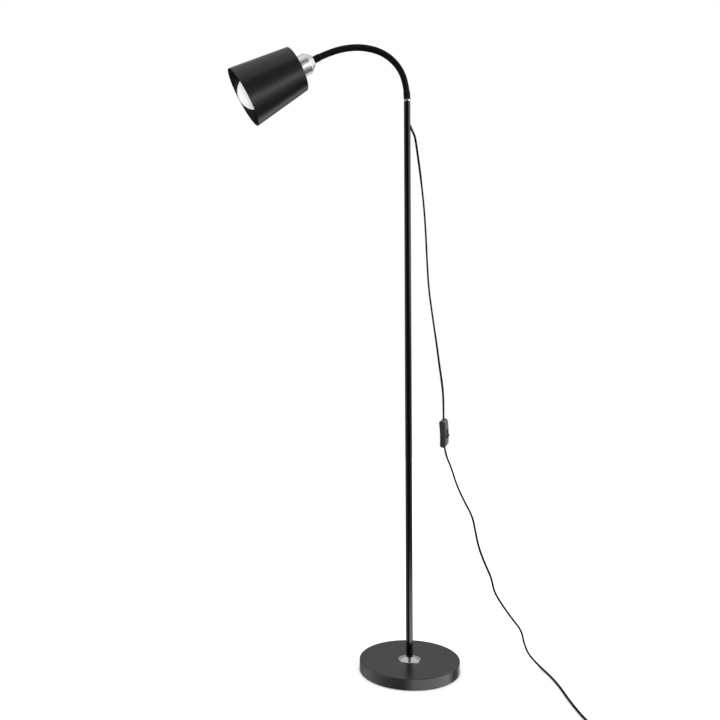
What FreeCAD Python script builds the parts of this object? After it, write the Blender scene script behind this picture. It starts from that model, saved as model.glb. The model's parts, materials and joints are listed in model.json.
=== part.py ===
import FreeCAD, Part
import math
import os
import Sketcher

# Gooseneck reading floor lamp, millimetres, +Z up.
# The origin is the centre of the base's underside, the head reaches towards -X
# and the cord leaves the pole towards +X.

SIZES = {
    # weighted base
    "base_radius": 115.0,
    "base_height": 24.0,
    "base_edge": 1.6,
    "base_dish": 3.0,
    "dish_margin": 1.5,
    "dish_gap": 0.3,
    "cover_wall": 1.2,
    "cover_gap": 0.3,
    "cover_lift": 0.8,
    "pad_inset": 2.5,
    "pad_thickness": 2.0,
    "weight_web": 3.0,
    "weight_hub_width": 19.0,
    "weight_rim_width": 14.5,
    "weight_hollow": 9.0,
    "recess_gap": 2.0,
    "collar_width": 17.35,
    "collar_neck_width": 2.35,
    "collar_rim": 1.6,
    "collar_bevel": 1.0,
    "collar_height": 8.0,
    # pole of four screwed tubes
    "tube_radius": 8.0,
    "tube_wall": 1.0,
    "tube_length": 334.0,
    "tube_foot": 9.5,
    "tube_edge": 0.4,
    "insert_length": 15.0,
    "insert_gap": 0.03,
    "seat_gap": 0.15,
    # lamp thread: hollow rod that carries the joints and lets the leads through
    "rod_radius": 5.0,
    "rod_bore": 3.3,
    "rod_gap": 0.05,
    "rod_reach": 13.0,
    "bolt_head_width": 3.0,
    "bolt_head_height": 3.1,
    "bolt_bevel": 1.0,
    "bolt_socket": 1.5,
    "washer_width": 5.95,
    "washer_thickness": 1.2,
    # polished ring between pole and neck
    "ring_height": 4.5,
    "ring_proud": 0.3,
    "ring_bevel": 0.5,
    "swing_gap": 0.2,
    # gooseneck: six stretches hinged at balls, each an arc of its own turn
    "neck_pitch": 53.25,
    "core_wall": 1.15,
    "core_bore": 3.0,
    "sleeve_gap": 0.1,
    "sleeve_wall": 1.3,
    "cuff_proud": 0.8,
    "foot_cuff_length": 21.5,
    "head_cuff_length": 19.0,
    "ball_proud": 0.8,
    "ball_gap": 0.3,
    "relief_gap": 1.6,
    "lead_radius": 2.4,
    "lead_inset": 9.0,
    "pole_lead_gap": 8.0,
    # chrome cup that covers the lampholder
    "cup_length": 43.5,
    "cup_wall": 1.0,
    "cup_cone": 14.5,
    "cup_back_radius": 13.0,
    "cup_bevel": 1.0,
    "cup_shoulder": 3.0,
    "flange_gap": 0.5,
    "nut_width": 4.8,
    "nut_height": 4.0,
    # lampshade
    "shade_back_radius": 53.0,
    "shade_mouth_radius": 70.6,
    "shade_length": 149.8,
    "shade_wall": 1.0,
    "shade_corner": 2.5,
    # lampholder
    "holder_radius": 20.0,
    "holder_back": 9.0,
    "holder_reach": 38.0,
    "holder_skirt": 11.0,
    "holder_skirt_wall": 3.8,
    "holder_wall": 1.8,
    "holder_depth": 32.0,
    "holder_flange": 3.0,
    "holder_flange_width": 3.2,
    "holder_gap": 0.2,
    "holder_edge": 1.0,
    "dome_inset": 1.0,
    "dome_flat": 6.95,
    "dome_rise": 7.0,
    "dome_floor_wall": 2.4,
    "contact_block_height": 5.0,
    "contact_radius": 4.0,
    "contact_tip_radius": 3.0,
    "shade_ring_flange": 6.0,
    "shade_ring_width": 3.5,
    "shade_ring_rim": 2.0,
    "shade_ring_height": 7.0,
    "screw_shell_wall": 0.4,
    "screw_shell_inset": 3.0,
    "thread_gap": 0.3,
    # bulb
    "bulb_radius": 40.0,
    "bulb_reach": 119.0,
    "bulb_wall": 1.2,
    "bulb_housing_length": 34.0,
    "bulb_waist_radius": 21.0,
    "bulb_overlap": 4.0,
    "bulb_cap_radius": 13.2,
    "bulb_cap_length": 24.0,
    "bulb_cap_wall": 1.0,
    "bulb_cap_step": 2.0,
    "bulb_cap_mouth": 3.8,
    "bulb_standoff": 3.0,
    "bulb_tip_radius": 4.5,
    "bulb_tip_height": 3.0,
    # strain relief where the cord leaves the pole
    "boot_drop": 58.6,
    "boot_tilt": 65.0,
    "boot_length": 20.0,
    "boot_root_radius": 3.3,
    "boot_wall": 0.3,
    "boot_gap": 0.1,
    "boot_lead": 10.0,
    # flat two-core cord, drawn here as a round tube of its width
    "cord_radius": 2.7,
    # hand switch on the cord
    "switch_turn": 33.5,
    "switch_lean": 6.1,
    "switch_pitch": 16.6,
    "switch_length": 65.0,
    "switch_width": 26.0,
    "switch_depth": 15.5,
    "switch_wall": 1.6,
    "switch_bow": 1.6,
    "switch_split": 7.0,
    "switch_corner": 5.0,
    "switch_cord_gap": 0.1,
    "rocker_length": 19.0,
    "rocker_width": 16.0,
    "rocker_gap": 0.5,
    "rocker_tilt": 13.0,
    "rocker_rise": 2.2,
    "rocker_edge": 0.8,
    "rocker_dip": 0.4,
    "rocker_side": 2.6,
    "rocker_heel": 1.8,
    "rocker_pin_depth": 2.6,
    "rocker_pin_radius": 1.5,
    "rocker_pin_play": 0.2,
    "screw_radius": 1.2,
    "screw_gap": 0.05,
    "screw_length": 9.0,
    "screw_grip": 5.0,
    "screw_head_radius": 2.3,
    "screw_head_height": 1.4,
    "screw_head_gap": 0.1,
    "screw_post_radius": 3.2,
    "screw_side_inset": 3.9,
    "screw_end_inset": 7.5,
    "terminal_depth": 4.0,
    "terminal_width": 12.0,
    "terminal_height": 5.0,
    "terminal_back": 5.6,
    "terminal_end_inset": 11.5,
    # coil of the put-away length, with its tie and plug
    "coil_radius": 31.0,
    "coil_gap": 0.8,
    "coil_lift": 1.1,
    "tie_thickness": 0.8,
    "tie_width": 6.0,
    "tie_gap": 0.3,
    "tie_angle": 200.0,
    "plug_length": 34.0,
    "plug_width": 26.0,
    "plug_height": 13.6,
    "plug_neck_width": 14.3,
    "plug_taper": 15.3,
    "plug_boot_length": 22.0,
    "plug_boot_wall": 0.5,
    "plug_boot_flare": 2.0,
    "pin_radius": 2.0,
    "pin_length": 19.0,
    "pin_spacing": 18.6,
}

# sizes that follow from the others
FOLLOWING = {
    "cover_inside": "base_radius - cover_wall",
    "weight_radius": "cover_inside - cover_gap",
    "cover_ceiling": "base_height - cover_wall",
    "dish_top": "base_height - base_dish",
    "weight_middle": "dish_top - cover_wall",
    "weight_top": "weight_middle + base_dish - dish_gap",
    "tube_hole": "tube_radius + seat_gap",
    "collar_radius": "tube_hole + collar_width",
    "collar_top": "dish_top + collar_height",
    "dish_radius": "collar_radius + dish_margin",
    "rod_hole": "rod_radius + rod_gap",
    "washer_radius": "rod_hole + washer_width",
    "recess_radius": "washer_radius + recess_gap",
    "bolt_head_radius": "rod_radius + bolt_head_width",
    "web_foot": "tube_foot - weight_web",
    "washer_foot": "web_foot - washer_thickness",
    "bolt_foot": "washer_foot - bolt_head_height",
    "bolt_top": "tube_foot + rod_reach",
    "insert_radius": "tube_radius - tube_wall - insert_gap",
    "pole_top": "tube_foot + 4 * tube_length",
    "neck_foot": "pole_top + ring_height",
    "ring_radius": "tube_radius + ring_proud",
    "core_radius": "rod_hole + core_wall",
    "sleeve_bore": "core_radius + sleeve_gap",
    "neck_radius": "sleeve_bore + sleeve_wall",
    "cuff_radius": "neck_radius + cuff_proud",
    "ball_radius": "core_radius + ball_proud",
    "ball_seat": "ball_radius + ball_gap",
    "neck_relief": "ball_radius + relief_gap",
    "flange_radius": "holder_radius + holder_flange_width",
    "cup_inside": "flange_radius + flange_gap",
    "cup_radius": "cup_inside + cup_wall",
    "cup_hole": "rod_radius + holder_gap",
    "cup_floor": "cup_bevel + cup_wall",
    "nut_radius": "rod_radius + nut_width",
    "dome_radius": "holder_radius - dome_inset",
    "dome_back_radius": "rod_hole + dome_flat",
    "dome_floor": "holder_back + dome_floor_wall",
    "holder_split": "cup_length - holder_skirt",
    "holder_front": "cup_length + holder_reach",
    "holder_floor": "holder_front - holder_depth",
    "block_top": "holder_floor + contact_block_height",
    "screw_shell_radius": "bulb_cap_radius + thread_gap + screw_shell_wall",
    "shade_hole": "holder_radius + holder_gap",
    "shade_floor": "cup_length + shade_wall",
    "shade_mouth": "cup_length + shade_length",
    "bulb_cap_front": "holder_front + bulb_standoff",
    "bulb_cap_back": "bulb_cap_front - bulb_cap_length",
    "bulb_tip": "bulb_cap_back - bulb_tip_height",
    "bulb_waist": "bulb_cap_front + bulb_housing_length",
    "bulb_front": "bulb_cap_front + bulb_reach",
    "boot_tip_radius": "cord_radius + boot_wall",
    "coil_step": "2 * cord_radius + coil_gap",
}

# turn of each stretch of the neck at rest, in degrees, from the pole to the head
NECK_TURNS = (15.4, 30.8, 30.3, 20.9, 16.2, 8.1)

# upper end of the hand switch
SWITCH_TOP = FreeCAD.Vector(84.4, -0.5, 569.6)

# centre line of the cord from the strain relief to the hand switch, chosen by hand
UPPER_ROUTE = (
    (21.9, -0.3, 1241.5),
    (25.4, -0.6, 1215.0),
    (30.0, -0.7, 1180.0),
    (34.8, -0.3, 1140.0),
    (40.8, 0.9, 1084.0),
    (45.0, 2.1, 1022.0),
    (48.0, 3.9, 953.0),
    (51.6, 4.8, 887.9),
    (59.4, 2.6, 823.4),
    (67.7, -3.2, 755.9),
    (73.7, -10.4, 693.9),
    (79.4, -14.6, 647.3),
    (82.2, -11.2, 609.9),
)

# centre line from the hand switch down to the floor and along it to the coil
LOWER_ROUTE = (
    (94.7, 23.6, 484.6),
    (108.8, 27.6, 456.2),
    (122.9, 30.0, 411.4),
    (141.1, 29.0, 373.1),
    (159.9, 26.2, 337.7),
    (165.4, 22.6, 303.1),
    (171.7, 18.6, 267.0),
    (185.6, 15.2, 228.1),
    (200.4, 13.1, 196.0),
    (206.8, 14.2, 162.6),
    (227.6, 14.1, 129.6),
    (249.4, 13.6, 99.6),
    (271.6, 11.4, 72.0),
    (275.6, 9.0, 45.0),
    (282.4, -0.8, 22.5),
    (295.5, -14.5, 7.3),
    (300.9, -42.3, 2.9),
    (303.8, -85.3, 2.8),
    (301.4, -135.4, 2.8),
    (295.2, -188.5, 2.8),
    (291.3, -238.6, 3.1),
    (290.3, -283.7, 3.8),
)

COIL_TURNS_PER_LAYER = 1.5
COIL_START = FreeCAD.Vector(291.0, -334.0, 0.0)

# share of the wall by which the switch's screw heads lie below its back face
SCREW_SINK = 0.2

X = FreeCAD.Vector(1, 0, 0)
Y = FreeCAD.Vector(0, 1, 0)
Z = FreeCAD.Vector(0, 0, 1)
ORIGIN = FreeCAD.Vector(0, 0, 0)

doc = FreeCAD.newDocument("floor_lamp")
sheet = doc.addObject("Spreadsheet::Sheet", "Sizes")
for row, (alias, number) in enumerate(SIZES.items(), start=1):
    sheet.set("A%d" % row, alias)
    sheet.set("B%d" % row, str(number))
    sheet.setAlias("B%d" % row, alias)
doc.recompute()


def sized(words):
    """A formula in which each size's name stands for its cell, or for its own formula."""
    out = []
    for word in words.split():
        if word in SIZES:
            out.append("Sizes." + word)
        elif word in FOLLOWING:
            out.append("( " + sized(FOLLOWING[word]) + " )")
        else:
            out.append(word)
    return " ".join(out)


def size(words):
    """The value of a formula of sizes."""
    return float(sheet.evalExpression(sized(words)))


def origin_plane(body, role):
    """A body's own origin plane."""
    return next(plane for plane in body.Origin.OriginFeatures if plane.Role == role)


def outline_sketch(body, name, role, corners):
    """A closed outline of straight sides, each corner held by two sizes from the origin."""
    sketch = body.newObject("Sketcher::SketchObject", name)
    sketch.AttachmentSupport = [(origin_plane(body, role), "")]
    sketch.MapMode = "FlatFace"
    count = len(corners)
    start_radius = 50.0
    ring = []
    for number in range(count):
        angle = 2 * math.pi * number / count
        ring.append(FreeCAD.Vector(start_radius * math.cos(angle), start_radius * math.sin(angle), 0))
    for number in range(count):
        sketch.addGeometry(Part.LineSegment(ring[number], ring[(number + 1) % count]), False)
    for number in range(count):
        sketch.addConstraint(Sketcher.Constraint("Coincident", number, 2, (number + 1) % count, 1))
    for number, (across, along) in enumerate(corners):
        for kind, value in (("DistanceX", across), ("DistanceY", along)):
            place = sketch.addConstraint(Sketcher.Constraint(kind, -1, 1, number, 1, 1.0))
            sketch.setExpression("Constraints[%d]" % place, value)
    return sketch


def turned(label, corners, placement=None):
    """A body turned about its Z axis; each corner is (radius, height) in formulas of sizes."""
    body = doc.addObject("PartDesign::Body", label)
    body.Label = label
    pairs = [(sized(radius), sized(height)) for radius, height in corners]
    sketch = outline_sketch(body, label + "_profile", "XZ_Plane", pairs)
    turning = body.newObject("PartDesign::Revolution", label + "_turned")
    turning.Profile = sketch
    turning.ReferenceAxis = (sketch, ["V_Axis"])
    turning.Angle = 360.0
    if placement is not None:
        body.Placement = placement
    return body


def rounded(body, name, radius, corner):
    """Rounds a turned body's circular edge at a (radius, height) corner."""
    doc.recompute()
    across, along = size(corner[0]), size(corner[1])
    base = body.Tip
    shape = base.Shape
    found = []
    for number, edge in enumerate(shape.Edges, start=1):
        if not isinstance(edge.Curve, Part.Circle):
            continue
        if abs(edge.Curve.Radius - across) < 1e-4 and abs(edge.Curve.Center.z - along) < 1e-4:
            found.append("Edge%d" % number)
    fillet = body.newObject("PartDesign::Fillet", name)
    fillet.Base = (base, found)
    fillet.setExpression("Radius", sized(radius))


def primitive(kind, label, placement=None, **formulas):
    """A bound Part primitive such as Part::Cylinder."""
    thing = doc.addObject(kind, label)
    for name, formula in formulas.items():
        thing.setExpression(name, sized(formula))
    if placement is not None:
        thing.Placement = placement
    return thing


def fused(label, first, second):
    both = doc.addObject("Part::Fuse", label)
    both.Base = first
    both.Tool = second
    return both


def cut(label, first, second):
    rest = doc.addObject("Part::Cut", label)
    rest.Base = first
    rest.Tool = second
    return rest


def formed(label, shape, placement=None):
    """A piece whose shape comes straight from Part's functions."""
    thing = doc.addObject("Part::Feature", label)
    thing.Label = label
    thing.Shape = shape
    if placement is not None:
        thing.Placement = placement
    return thing


def at(z):
    """A placement on the pole's axis."""
    return FreeCAD.Placement(FreeCAD.Vector(0, 0, z), FreeCAD.Rotation())


def facing(base, x_axis, y_axis, z_axis):
    """A placement from a base point and three axes."""
    return FreeCAD.Placement(base, FreeCAD.Rotation(x_axis, y_axis, z_axis, "ZXY"))


# Tubes that follow a line in space


def arc_between(start, tangent, end):
    """The arc that leaves start along tangent and reaches end."""
    chord = end - start
    length = chord.Length
    along = FreeCAD.Vector(chord) / length
    side = tangent - along * tangent.dot(along)
    if side.Length < 1e-6:
        return Part.LineSegment(start, end)
    half = math.acos(max(-1.0, min(1.0, tangent.dot(along))))
    side.normalize()
    middle = (start + end) / 2 + side * (length / 2 * math.tan(half / 2))
    return Part.Arc(start, middle, end)


def biarc(start, start_tangent, end, end_tangent):
    """Two arcs that leave start along its tangent and reach end along its own."""
    span = end - start
    both = start_tangent + end_tangent
    spread = 2 * (1 - start_tangent.dot(end_tangent))
    reach = span.dot(both)
    if spread < 1e-9:
        step = span.dot(span) / (2 * reach)
    else:
        step = (math.sqrt(reach * reach + spread * span.dot(span)) - reach) / spread
    joint = (start + start_tangent * step + end - end_tangent * step) / 2
    return [
        arc_between(start, start_tangent, joint),
        reversed_arc(joint, end, end_tangent),
    ]


def reversed_arc(start, end, end_tangent):
    """The arc from start that arrives at end along its tangent."""
    edge = arc_between(end, end_tangent * -1, start)
    if isinstance(edge, Part.LineSegment):
        return Part.LineSegment(start, end)
    points = edge.toShape().discretize(3)
    return Part.Arc(points[-1], points[1], points[0])


def tube_along(label, edges, radius):
    """A round tube swept along tangent edges, checked against section times length."""
    wire = Part.Wire([edge.toShape() for edge in edges])
    first = wire.OrderedEdges[0]
    start = first.valueAt(first.FirstParameter)
    tangent = first.tangentAt(first.FirstParameter)
    ring = Part.Wire([Part.makeCircle(radius, start, tangent)])
    solid = wire.makePipeShell([ring], True, False)
    expected = math.pi * radius * radius * wire.Length
    ratio = solid.Volume / expected
    print("%s: length %.1f mm, volume over section times length %.4f" % (label, wire.Length, ratio))
    formed(label, solid)
    return wire


def rounded_route(label, points):
    """Straight runs with an arc at each point, as large as the two runs allow."""
    edges = []
    radii = []
    here = points[0]
    share = 0.45
    for number in range(1, len(points) - 1):
        before = points[number] - points[number - 1]
        after = points[number + 1] - points[number]
        setback = share * min(before.Length, after.Length)
        into = FreeCAD.Vector(before).normalize()
        out = FreeCAD.Vector(after).normalize()
        turn = into.getAngle(out)
        radii.append(setback / math.tan(turn / 2))
        start = points[number] - into * setback
        end = points[number] + out * setback
        edges.append(Part.LineSegment(here, start))
        edges.append(arc_between(start, into, end))
        here = end
    edges.append(Part.LineSegment(here, points[-1]))
    print("%s: arc radii from %.0f mm: %s" % (label, min(radii), " ".join("%.0f" % r for r in radii)))
    return edges


# Weighted base


def base():
    cover = turned("base_cover", [
        ("tube_hole", "weight_middle"),
        ("dish_radius", "weight_middle"),
        ("cover_inside", "cover_ceiling"),
        ("cover_inside", "cover_lift"),
        ("base_radius", "cover_lift"),
        ("base_radius", "base_height"),
        ("dish_radius", "dish_top"),
        ("tube_hole", "dish_top"),
    ])
    rounded(cover, "cover_edge", "base_edge", ("base_radius", "base_height"))
    turned("base_weight", [
        ("recess_radius", "pad_thickness"),
        ("recess_radius + weight_hub_width", "pad_thickness"),
        ("recess_radius + weight_hub_width", "pad_thickness + weight_hollow"),
        ("weight_radius - weight_rim_width", "pad_thickness + weight_hollow"),
        ("weight_radius - weight_rim_width", "pad_thickness"),
        ("weight_radius", "pad_thickness"),
        ("weight_radius", "weight_top"),
        ("dish_radius", "weight_middle"),
        ("tube_hole", "weight_middle"),
        ("tube_hole", "tube_foot"),
        ("rod_hole", "tube_foot"),
        ("rod_hole", "web_foot"),
        ("recess_radius", "web_foot"),
    ])
    turned("base_pad", [
        ("0", "0"),
        ("weight_radius - pad_inset", "0"),
        ("weight_radius - pad_inset", "pad_thickness"),
        ("0", "pad_thickness"),
    ])
    turned("base_collar", [
        ("tube_hole", "dish_top"),
        ("collar_radius", "dish_top"),
        ("collar_radius", "dish_top + collar_rim"),
        ("collar_radius - collar_bevel", "dish_top + collar_rim + collar_bevel / 2"),
        ("tube_hole + collar_neck_width", "collar_top"),
        ("tube_hole", "collar_top"),
    ])
    turned("base_washer", [
        ("rod_hole", "washer_foot"),
        ("washer_radius", "washer_foot"),
        ("washer_radius", "web_foot"),
        ("rod_hole", "web_foot"),
    ])
    turned("base_bolt", [
        ("0", "bolt_foot + bolt_socket"),
        ("rod_bore", "bolt_foot + bolt_socket"),
        ("rod_bore", "bolt_foot"),
        ("bolt_head_radius - bolt_bevel", "bolt_foot"),
        ("bolt_head_radius", "bolt_foot + bolt_bevel"),
        ("bolt_head_radius", "washer_foot"),
        ("rod_radius", "washer_foot"),
        ("rod_radius", "bolt_top - bolt_bevel"),
        ("rod_radius - bolt_bevel", "bolt_top"),
        ("0", "bolt_top"),
    ])


# Pole


def tube_profile(bottom, top):
    """Inner and outer wall of one tube with a small break at each outer edge."""
    return [
        ("tube_radius - tube_wall", bottom),
        ("tube_radius - tube_edge", bottom),
        ("tube_radius", bottom + " + tube_edge"),
        ("tube_radius", top + " - tube_edge"),
        ("tube_radius - tube_edge", top),
        ("tube_radius - tube_wall", top),
    ]


def pole():
    seams = ["tube_foot + tube_length * %d" % number for number in range(5)]
    for number in range(1, 4):
        turned("pole_tube_%d" % number, tube_profile(seams[number - 1], seams[number]))
    bare = turned("pole_tube_bare", tube_profile(seams[3], seams[4]))
    hole = primitive(
        "Part::Cone", "cord_hole", boot_placement(),
        Radius1="boot_root_radius + boot_gap",
        Radius2="boot_tip_radius + boot_gap",
        Height="boot_length",
    )
    cut("pole_tube_4", bare, hole)
    inserts = []
    long = size("insert_length")
    for number in range(4):
        for low in (size(seams[number]), size(seams[number + 1]) - long):
            foot = FreeCAD.Vector(0, 0, low)
            plug = Part.makeCylinder(size("insert_radius"), long, foot)
            inserts.append(plug.cut(Part.makeCylinder(size("rod_hole"), long, foot)))
    formed("tube_inserts", Part.makeCompound(inserts))
    rods = []
    for seam in seams[1:4]:
        rods.append(hollow_rod(size(seam + " - rod_reach"), size(seam + " + rod_reach")))
    formed("tube_nipples", Part.makeCompound(rods))


def hollow_rod(low, high):
    """A length of hollow lamp thread on the Z axis."""
    foot = FreeCAD.Vector(0, 0, low)
    rod = Part.makeCylinder(size("rod_radius"), high - low, foot)
    return rod.cut(Part.makeCylinder(size("rod_bore"), high - low, foot))


def boot_direction():
    tilt = math.radians(size("boot_tilt"))
    return FreeCAD.Vector(math.cos(tilt), 0, -math.sin(tilt))


def boot_placement():
    """The strain relief's root sits inside the tube wall and its tip points down and out."""
    along = boot_direction()
    root = FreeCAD.Vector(size("tube_radius - tube_wall * 1.5"), 0, size("pole_top - boot_drop"))
    return facing(root, Y.cross(along), Y, along)


def strain_relief():
    primitive(
        "Part::Cone", "cord_boot", boot_placement(),
        Radius1="boot_root_radius",
        Radius2="boot_tip_radius",
        Height="boot_length",
    )


def ring_and_stud():
    turned("neck_ring", [
        ("rod_hole", "pole_top"),
        ("ring_radius - ring_bevel", "pole_top"),
        ("ring_radius", "pole_top + ring_bevel"),
        ("ring_radius", "neck_foot - ring_bevel"),
        ("ring_radius - ring_bevel", "neck_foot"),
        ("rod_hole", "neck_foot"),
    ])
    formed("neck_stud", hollow_rod(size("pole_top - rod_reach"), size("neck_foot + rod_reach")))
    foot = size("pole_top - boot_drop + pole_lead_gap")
    lead = Part.makeCylinder(size("lead_radius"), size("neck_foot") - foot, FreeCAD.Vector(0, 0, foot))
    formed("pole_lead", lead)


# Gooseneck


def forward(heading):
    """Direction of travel: 90 is straight up and 0 is towards the head."""
    angle = math.radians(heading)
    return FreeCAD.Vector(-math.cos(angle), 0, math.sin(angle))


def outward(heading):
    """Away from the centre of the bend."""
    angle = math.radians(heading)
    return FreeCAD.Vector(math.sin(angle), 0, math.cos(angle))


def neck_stations():
    """Start point and heading of each stretch, with the end of the last one."""
    here = FreeCAD.Vector(0, 0, size("neck_foot"))
    heading = 90.0
    stations = []
    for turn in NECK_TURNS:
        stations.append((here, heading))
        radius = size("neck_pitch") / math.radians(turn)
        centre = here - outward(heading) * radius
        heading -= turn
        here = centre + outward(heading) * radius
    stations.append((here, heading))
    return stations


def bent_rod(label, number, radius, start="0", length="neck_pitch"):
    """A solid arc of one stretch of the neck, from a start along it."""
    turn = NECK_TURNS[number]
    here, heading = neck_stations()[number]
    centre = here - outward(heading) * (size("neck_pitch") / math.radians(turn))
    first = heading - turn * size(start) / size("neck_pitch")
    out = outward(first)
    return primitive(
        "Part::Torus", label, facing(centre, out, forward(first), out.cross(forward(first))),
        Radius1="neck_pitch / ( %s * pi / 180 )" % turn,
        Radius2=radius,
        Angle3="%s * ( %s ) / neck_pitch" % (turn, length),
    )


def ball(label, point, radius):
    return primitive("Part::Sphere", label, FreeCAD.Placement(point, FreeCAD.Rotation()), Radius=radius)


def face_cutter(label, radius):
    """A disc that trims the neck's foot to its running gap over the ring."""
    return primitive("Part::Cylinder", label, at(size("neck_foot - 1")),
                     Radius=radius, Height="1 + swing_gap")


def neck_sleeve(number, start, end):
    """The skin of one stretch, thicker where a cuff covers the fitting at either end of the neck."""
    name = "%d" % (number + 1)
    last = number == len(NECK_TURNS) - 1
    rod = bent_rod("sleeve_rod_" + name, number, "neck_radius")
    if number == 0:
        rod = fused("sleeve_with_cuff_1", rod, bent_rod(
            "sleeve_cuff_1", number, "cuff_radius", "0", "foot_cuff_length"))
    if last:
        rod = fused("sleeve_with_cuff_" + name, rod, bent_rod(
            "sleeve_cuff_" + name, number, "cuff_radius", "neck_pitch - head_cuff_length", "head_cuff_length"))
    sleeve = cut("sleeve_tube_" + name, rod, bent_rod("sleeve_hole_" + name, number, "sleeve_bore"))
    if number == 0:
        sleeve = cut("sleeve_start_1", sleeve, face_cutter("sleeve_face_1", "cuff_radius + 2"))
    else:
        sleeve = cut("sleeve_start_" + name, sleeve, ball("sleeve_ball_" + name, start, "ball_seat"))
    if not last:
        sleeve = cut("sleeve_end_" + name, sleeve, ball("sleeve_relief_" + name, end, "neck_relief"))
    sleeve.Label = "neck_sleeve_" + name


def neck_core(number, start, heading, end):
    """The tube inside one stretch, with a bored ball at its start and a seat at its end."""
    name = "%d" % (number + 1)
    core = cut(
        "core_tube_" + name,
        bent_rod("core_rod_" + name, number, "core_radius"),
        bent_rod("core_hole_" + name, number, "core_bore"),
    )
    if number == 0:
        socket = primitive("Part::Cylinder", "stud_room_1", at(size("neck_foot - 1")),
                           Radius="rod_hole", Height="rod_reach + 2")
        core = cut("core_socket_1", core, socket)
        core = cut("core_start_1", core, face_cutter("core_face_1", "core_radius + 2"))
    else:
        along = forward(heading)
        across = outward(heading)
        bore_place = facing(start - along * size("ball_radius"), across, along.cross(across), along)
        bore = primitive("Part::Cylinder", "knob_bore_" + name, bore_place,
                         Radius="core_bore", Height="ball_radius * 2")
        knob = cut("knob_" + name, ball("core_ball_" + name, start, "ball_radius"), bore)
        core = fused("core_with_ball_" + name, core, knob)
    if number < len(NECK_TURNS) - 1:
        core = cut("core_end_" + name, core, ball("core_relief_" + name, end, "ball_seat"))
    else:
        room = primitive("Part::Cylinder", "stud_room_" + name, head_placement(-size("rod_reach")),
                         Radius="rod_hole", Height="rod_reach + 1")
        core = cut("core_end_" + name, core, room)
    core.Label = "neck_core_" + name


def neck():
    stations = neck_stations()
    for number in range(len(NECK_TURNS)):
        start, heading = stations[number]
        end = stations[number + 1][0]
        neck_sleeve(number, start, end)
        neck_core(number, start, heading, end)
        bent_rod("neck_lead_%d" % (number + 1), number, "lead_radius",
                 "lead_inset", "neck_pitch - 2 * lead_inset")


# Head: every piece is turned about the shade's axis, which leaves the end of the neck


def head_placement(along=0.0):
    """Local Z runs from the neck's end towards the mouth of the shade."""
    point, heading = neck_stations()[-1]
    axis = forward(heading)
    return facing(point + axis * along, Y.cross(axis), Y, axis)


def cup_and_fittings():
    cup = turned("holder_cup", [
        ("cup_hole", "0"),
        ("cup_back_radius - cup_bevel", "0"),
        ("cup_back_radius", "cup_bevel"),
        ("cup_radius", "cup_cone"),
        ("cup_radius", "cup_length"),
        ("cup_inside", "cup_length"),
        ("cup_inside", "cup_cone + cup_wall / 2"),
        ("cup_back_radius - cup_wall", "cup_floor"),
        ("cup_hole", "cup_floor"),
    ])
    rounded(cup, "cup_shoulder_outside", "cup_shoulder", ("cup_radius", "cup_cone"))
    rounded(cup, "cup_shoulder_inside", "cup_shoulder - cup_wall", ("cup_inside", "cup_cone + cup_wall / 2"))
    cup.Placement = head_placement()
    rod = hollow_rod(1 - size("rod_reach"), size("dome_floor + nut_height"))
    formed("cup_stud", rod, head_placement())
    low = size("cup_floor")
    corners = []
    for number in range(7):
        angle = math.radians(60 * number)
        corners.append(FreeCAD.Vector(math.cos(angle), math.sin(angle), 0) * size("nut_radius") + Z * low)
    nut = Part.Face(Part.makePolygon(corners)).extrude(Z * size("nut_height"))
    hole = Part.makeCylinder(size("rod_hole"), size("nut_height"), Z * low)
    formed("cup_nut", nut.cut(hole), head_placement())


def lampholder():
    turned("holder_dome", [
        ("rod_hole", "holder_back"),
        ("dome_back_radius", "holder_back"),
        ("dome_radius", "holder_back + dome_rise"),
        ("dome_radius", "holder_split"),
        ("dome_radius - holder_wall", "holder_split"),
        ("dome_radius - holder_wall", "holder_back + dome_rise + 1"),
        ("dome_back_radius - 1", "dome_floor"),
        ("rod_hole", "dome_floor"),
    ], head_placement())
    turned("holder_body", [
        ("0", "holder_floor - holder_wall"),
        ("holder_radius - holder_skirt_wall", "holder_floor - holder_wall"),
        ("holder_radius - holder_skirt_wall", "holder_split + holder_gap"),
        ("holder_radius", "holder_split + holder_gap"),
        ("holder_radius", "cup_length - holder_flange"),
        ("flange_radius", "cup_length - holder_flange"),
        ("flange_radius", "cup_length"),
        ("holder_radius", "cup_length"),
        ("holder_radius", "holder_front - holder_edge"),
        ("holder_radius - holder_edge", "holder_front"),
        ("screw_shell_radius + holder_gap", "holder_front"),
        ("screw_shell_radius + holder_gap", "holder_floor"),
        ("0", "holder_floor"),
    ], head_placement())
    turned("holder_insert", [
        ("0", "holder_floor"),
        ("screw_shell_radius", "holder_floor"),
        ("screw_shell_radius", "block_top"),
        ("0", "block_top"),
    ], head_placement())
    turned("screw_shell", [
        ("screw_shell_radius - screw_shell_wall", "block_top"),
        ("screw_shell_radius", "block_top"),
        ("screw_shell_radius", "holder_front - screw_shell_inset"),
        ("screw_shell_radius - screw_shell_wall", "holder_front - screw_shell_inset"),
    ], head_placement())
    turned("centre_contact", [
        ("0", "block_top"),
        ("contact_radius", "block_top"),
        ("contact_tip_radius", "bulb_tip"),
        ("0", "bulb_tip"),
    ], head_placement())
    turned("shade_ring", [
        ("shade_hole", "shade_floor"),
        ("holder_radius + shade_ring_flange", "shade_floor"),
        ("holder_radius + shade_ring_flange", "shade_floor + shade_ring_rim"),
        ("holder_radius + shade_ring_width", "shade_floor + shade_ring_rim"),
        ("holder_radius + shade_ring_width", "shade_floor + shade_ring_height"),
        ("shade_hole", "shade_floor + shade_ring_height"),
    ], head_placement())


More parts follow.
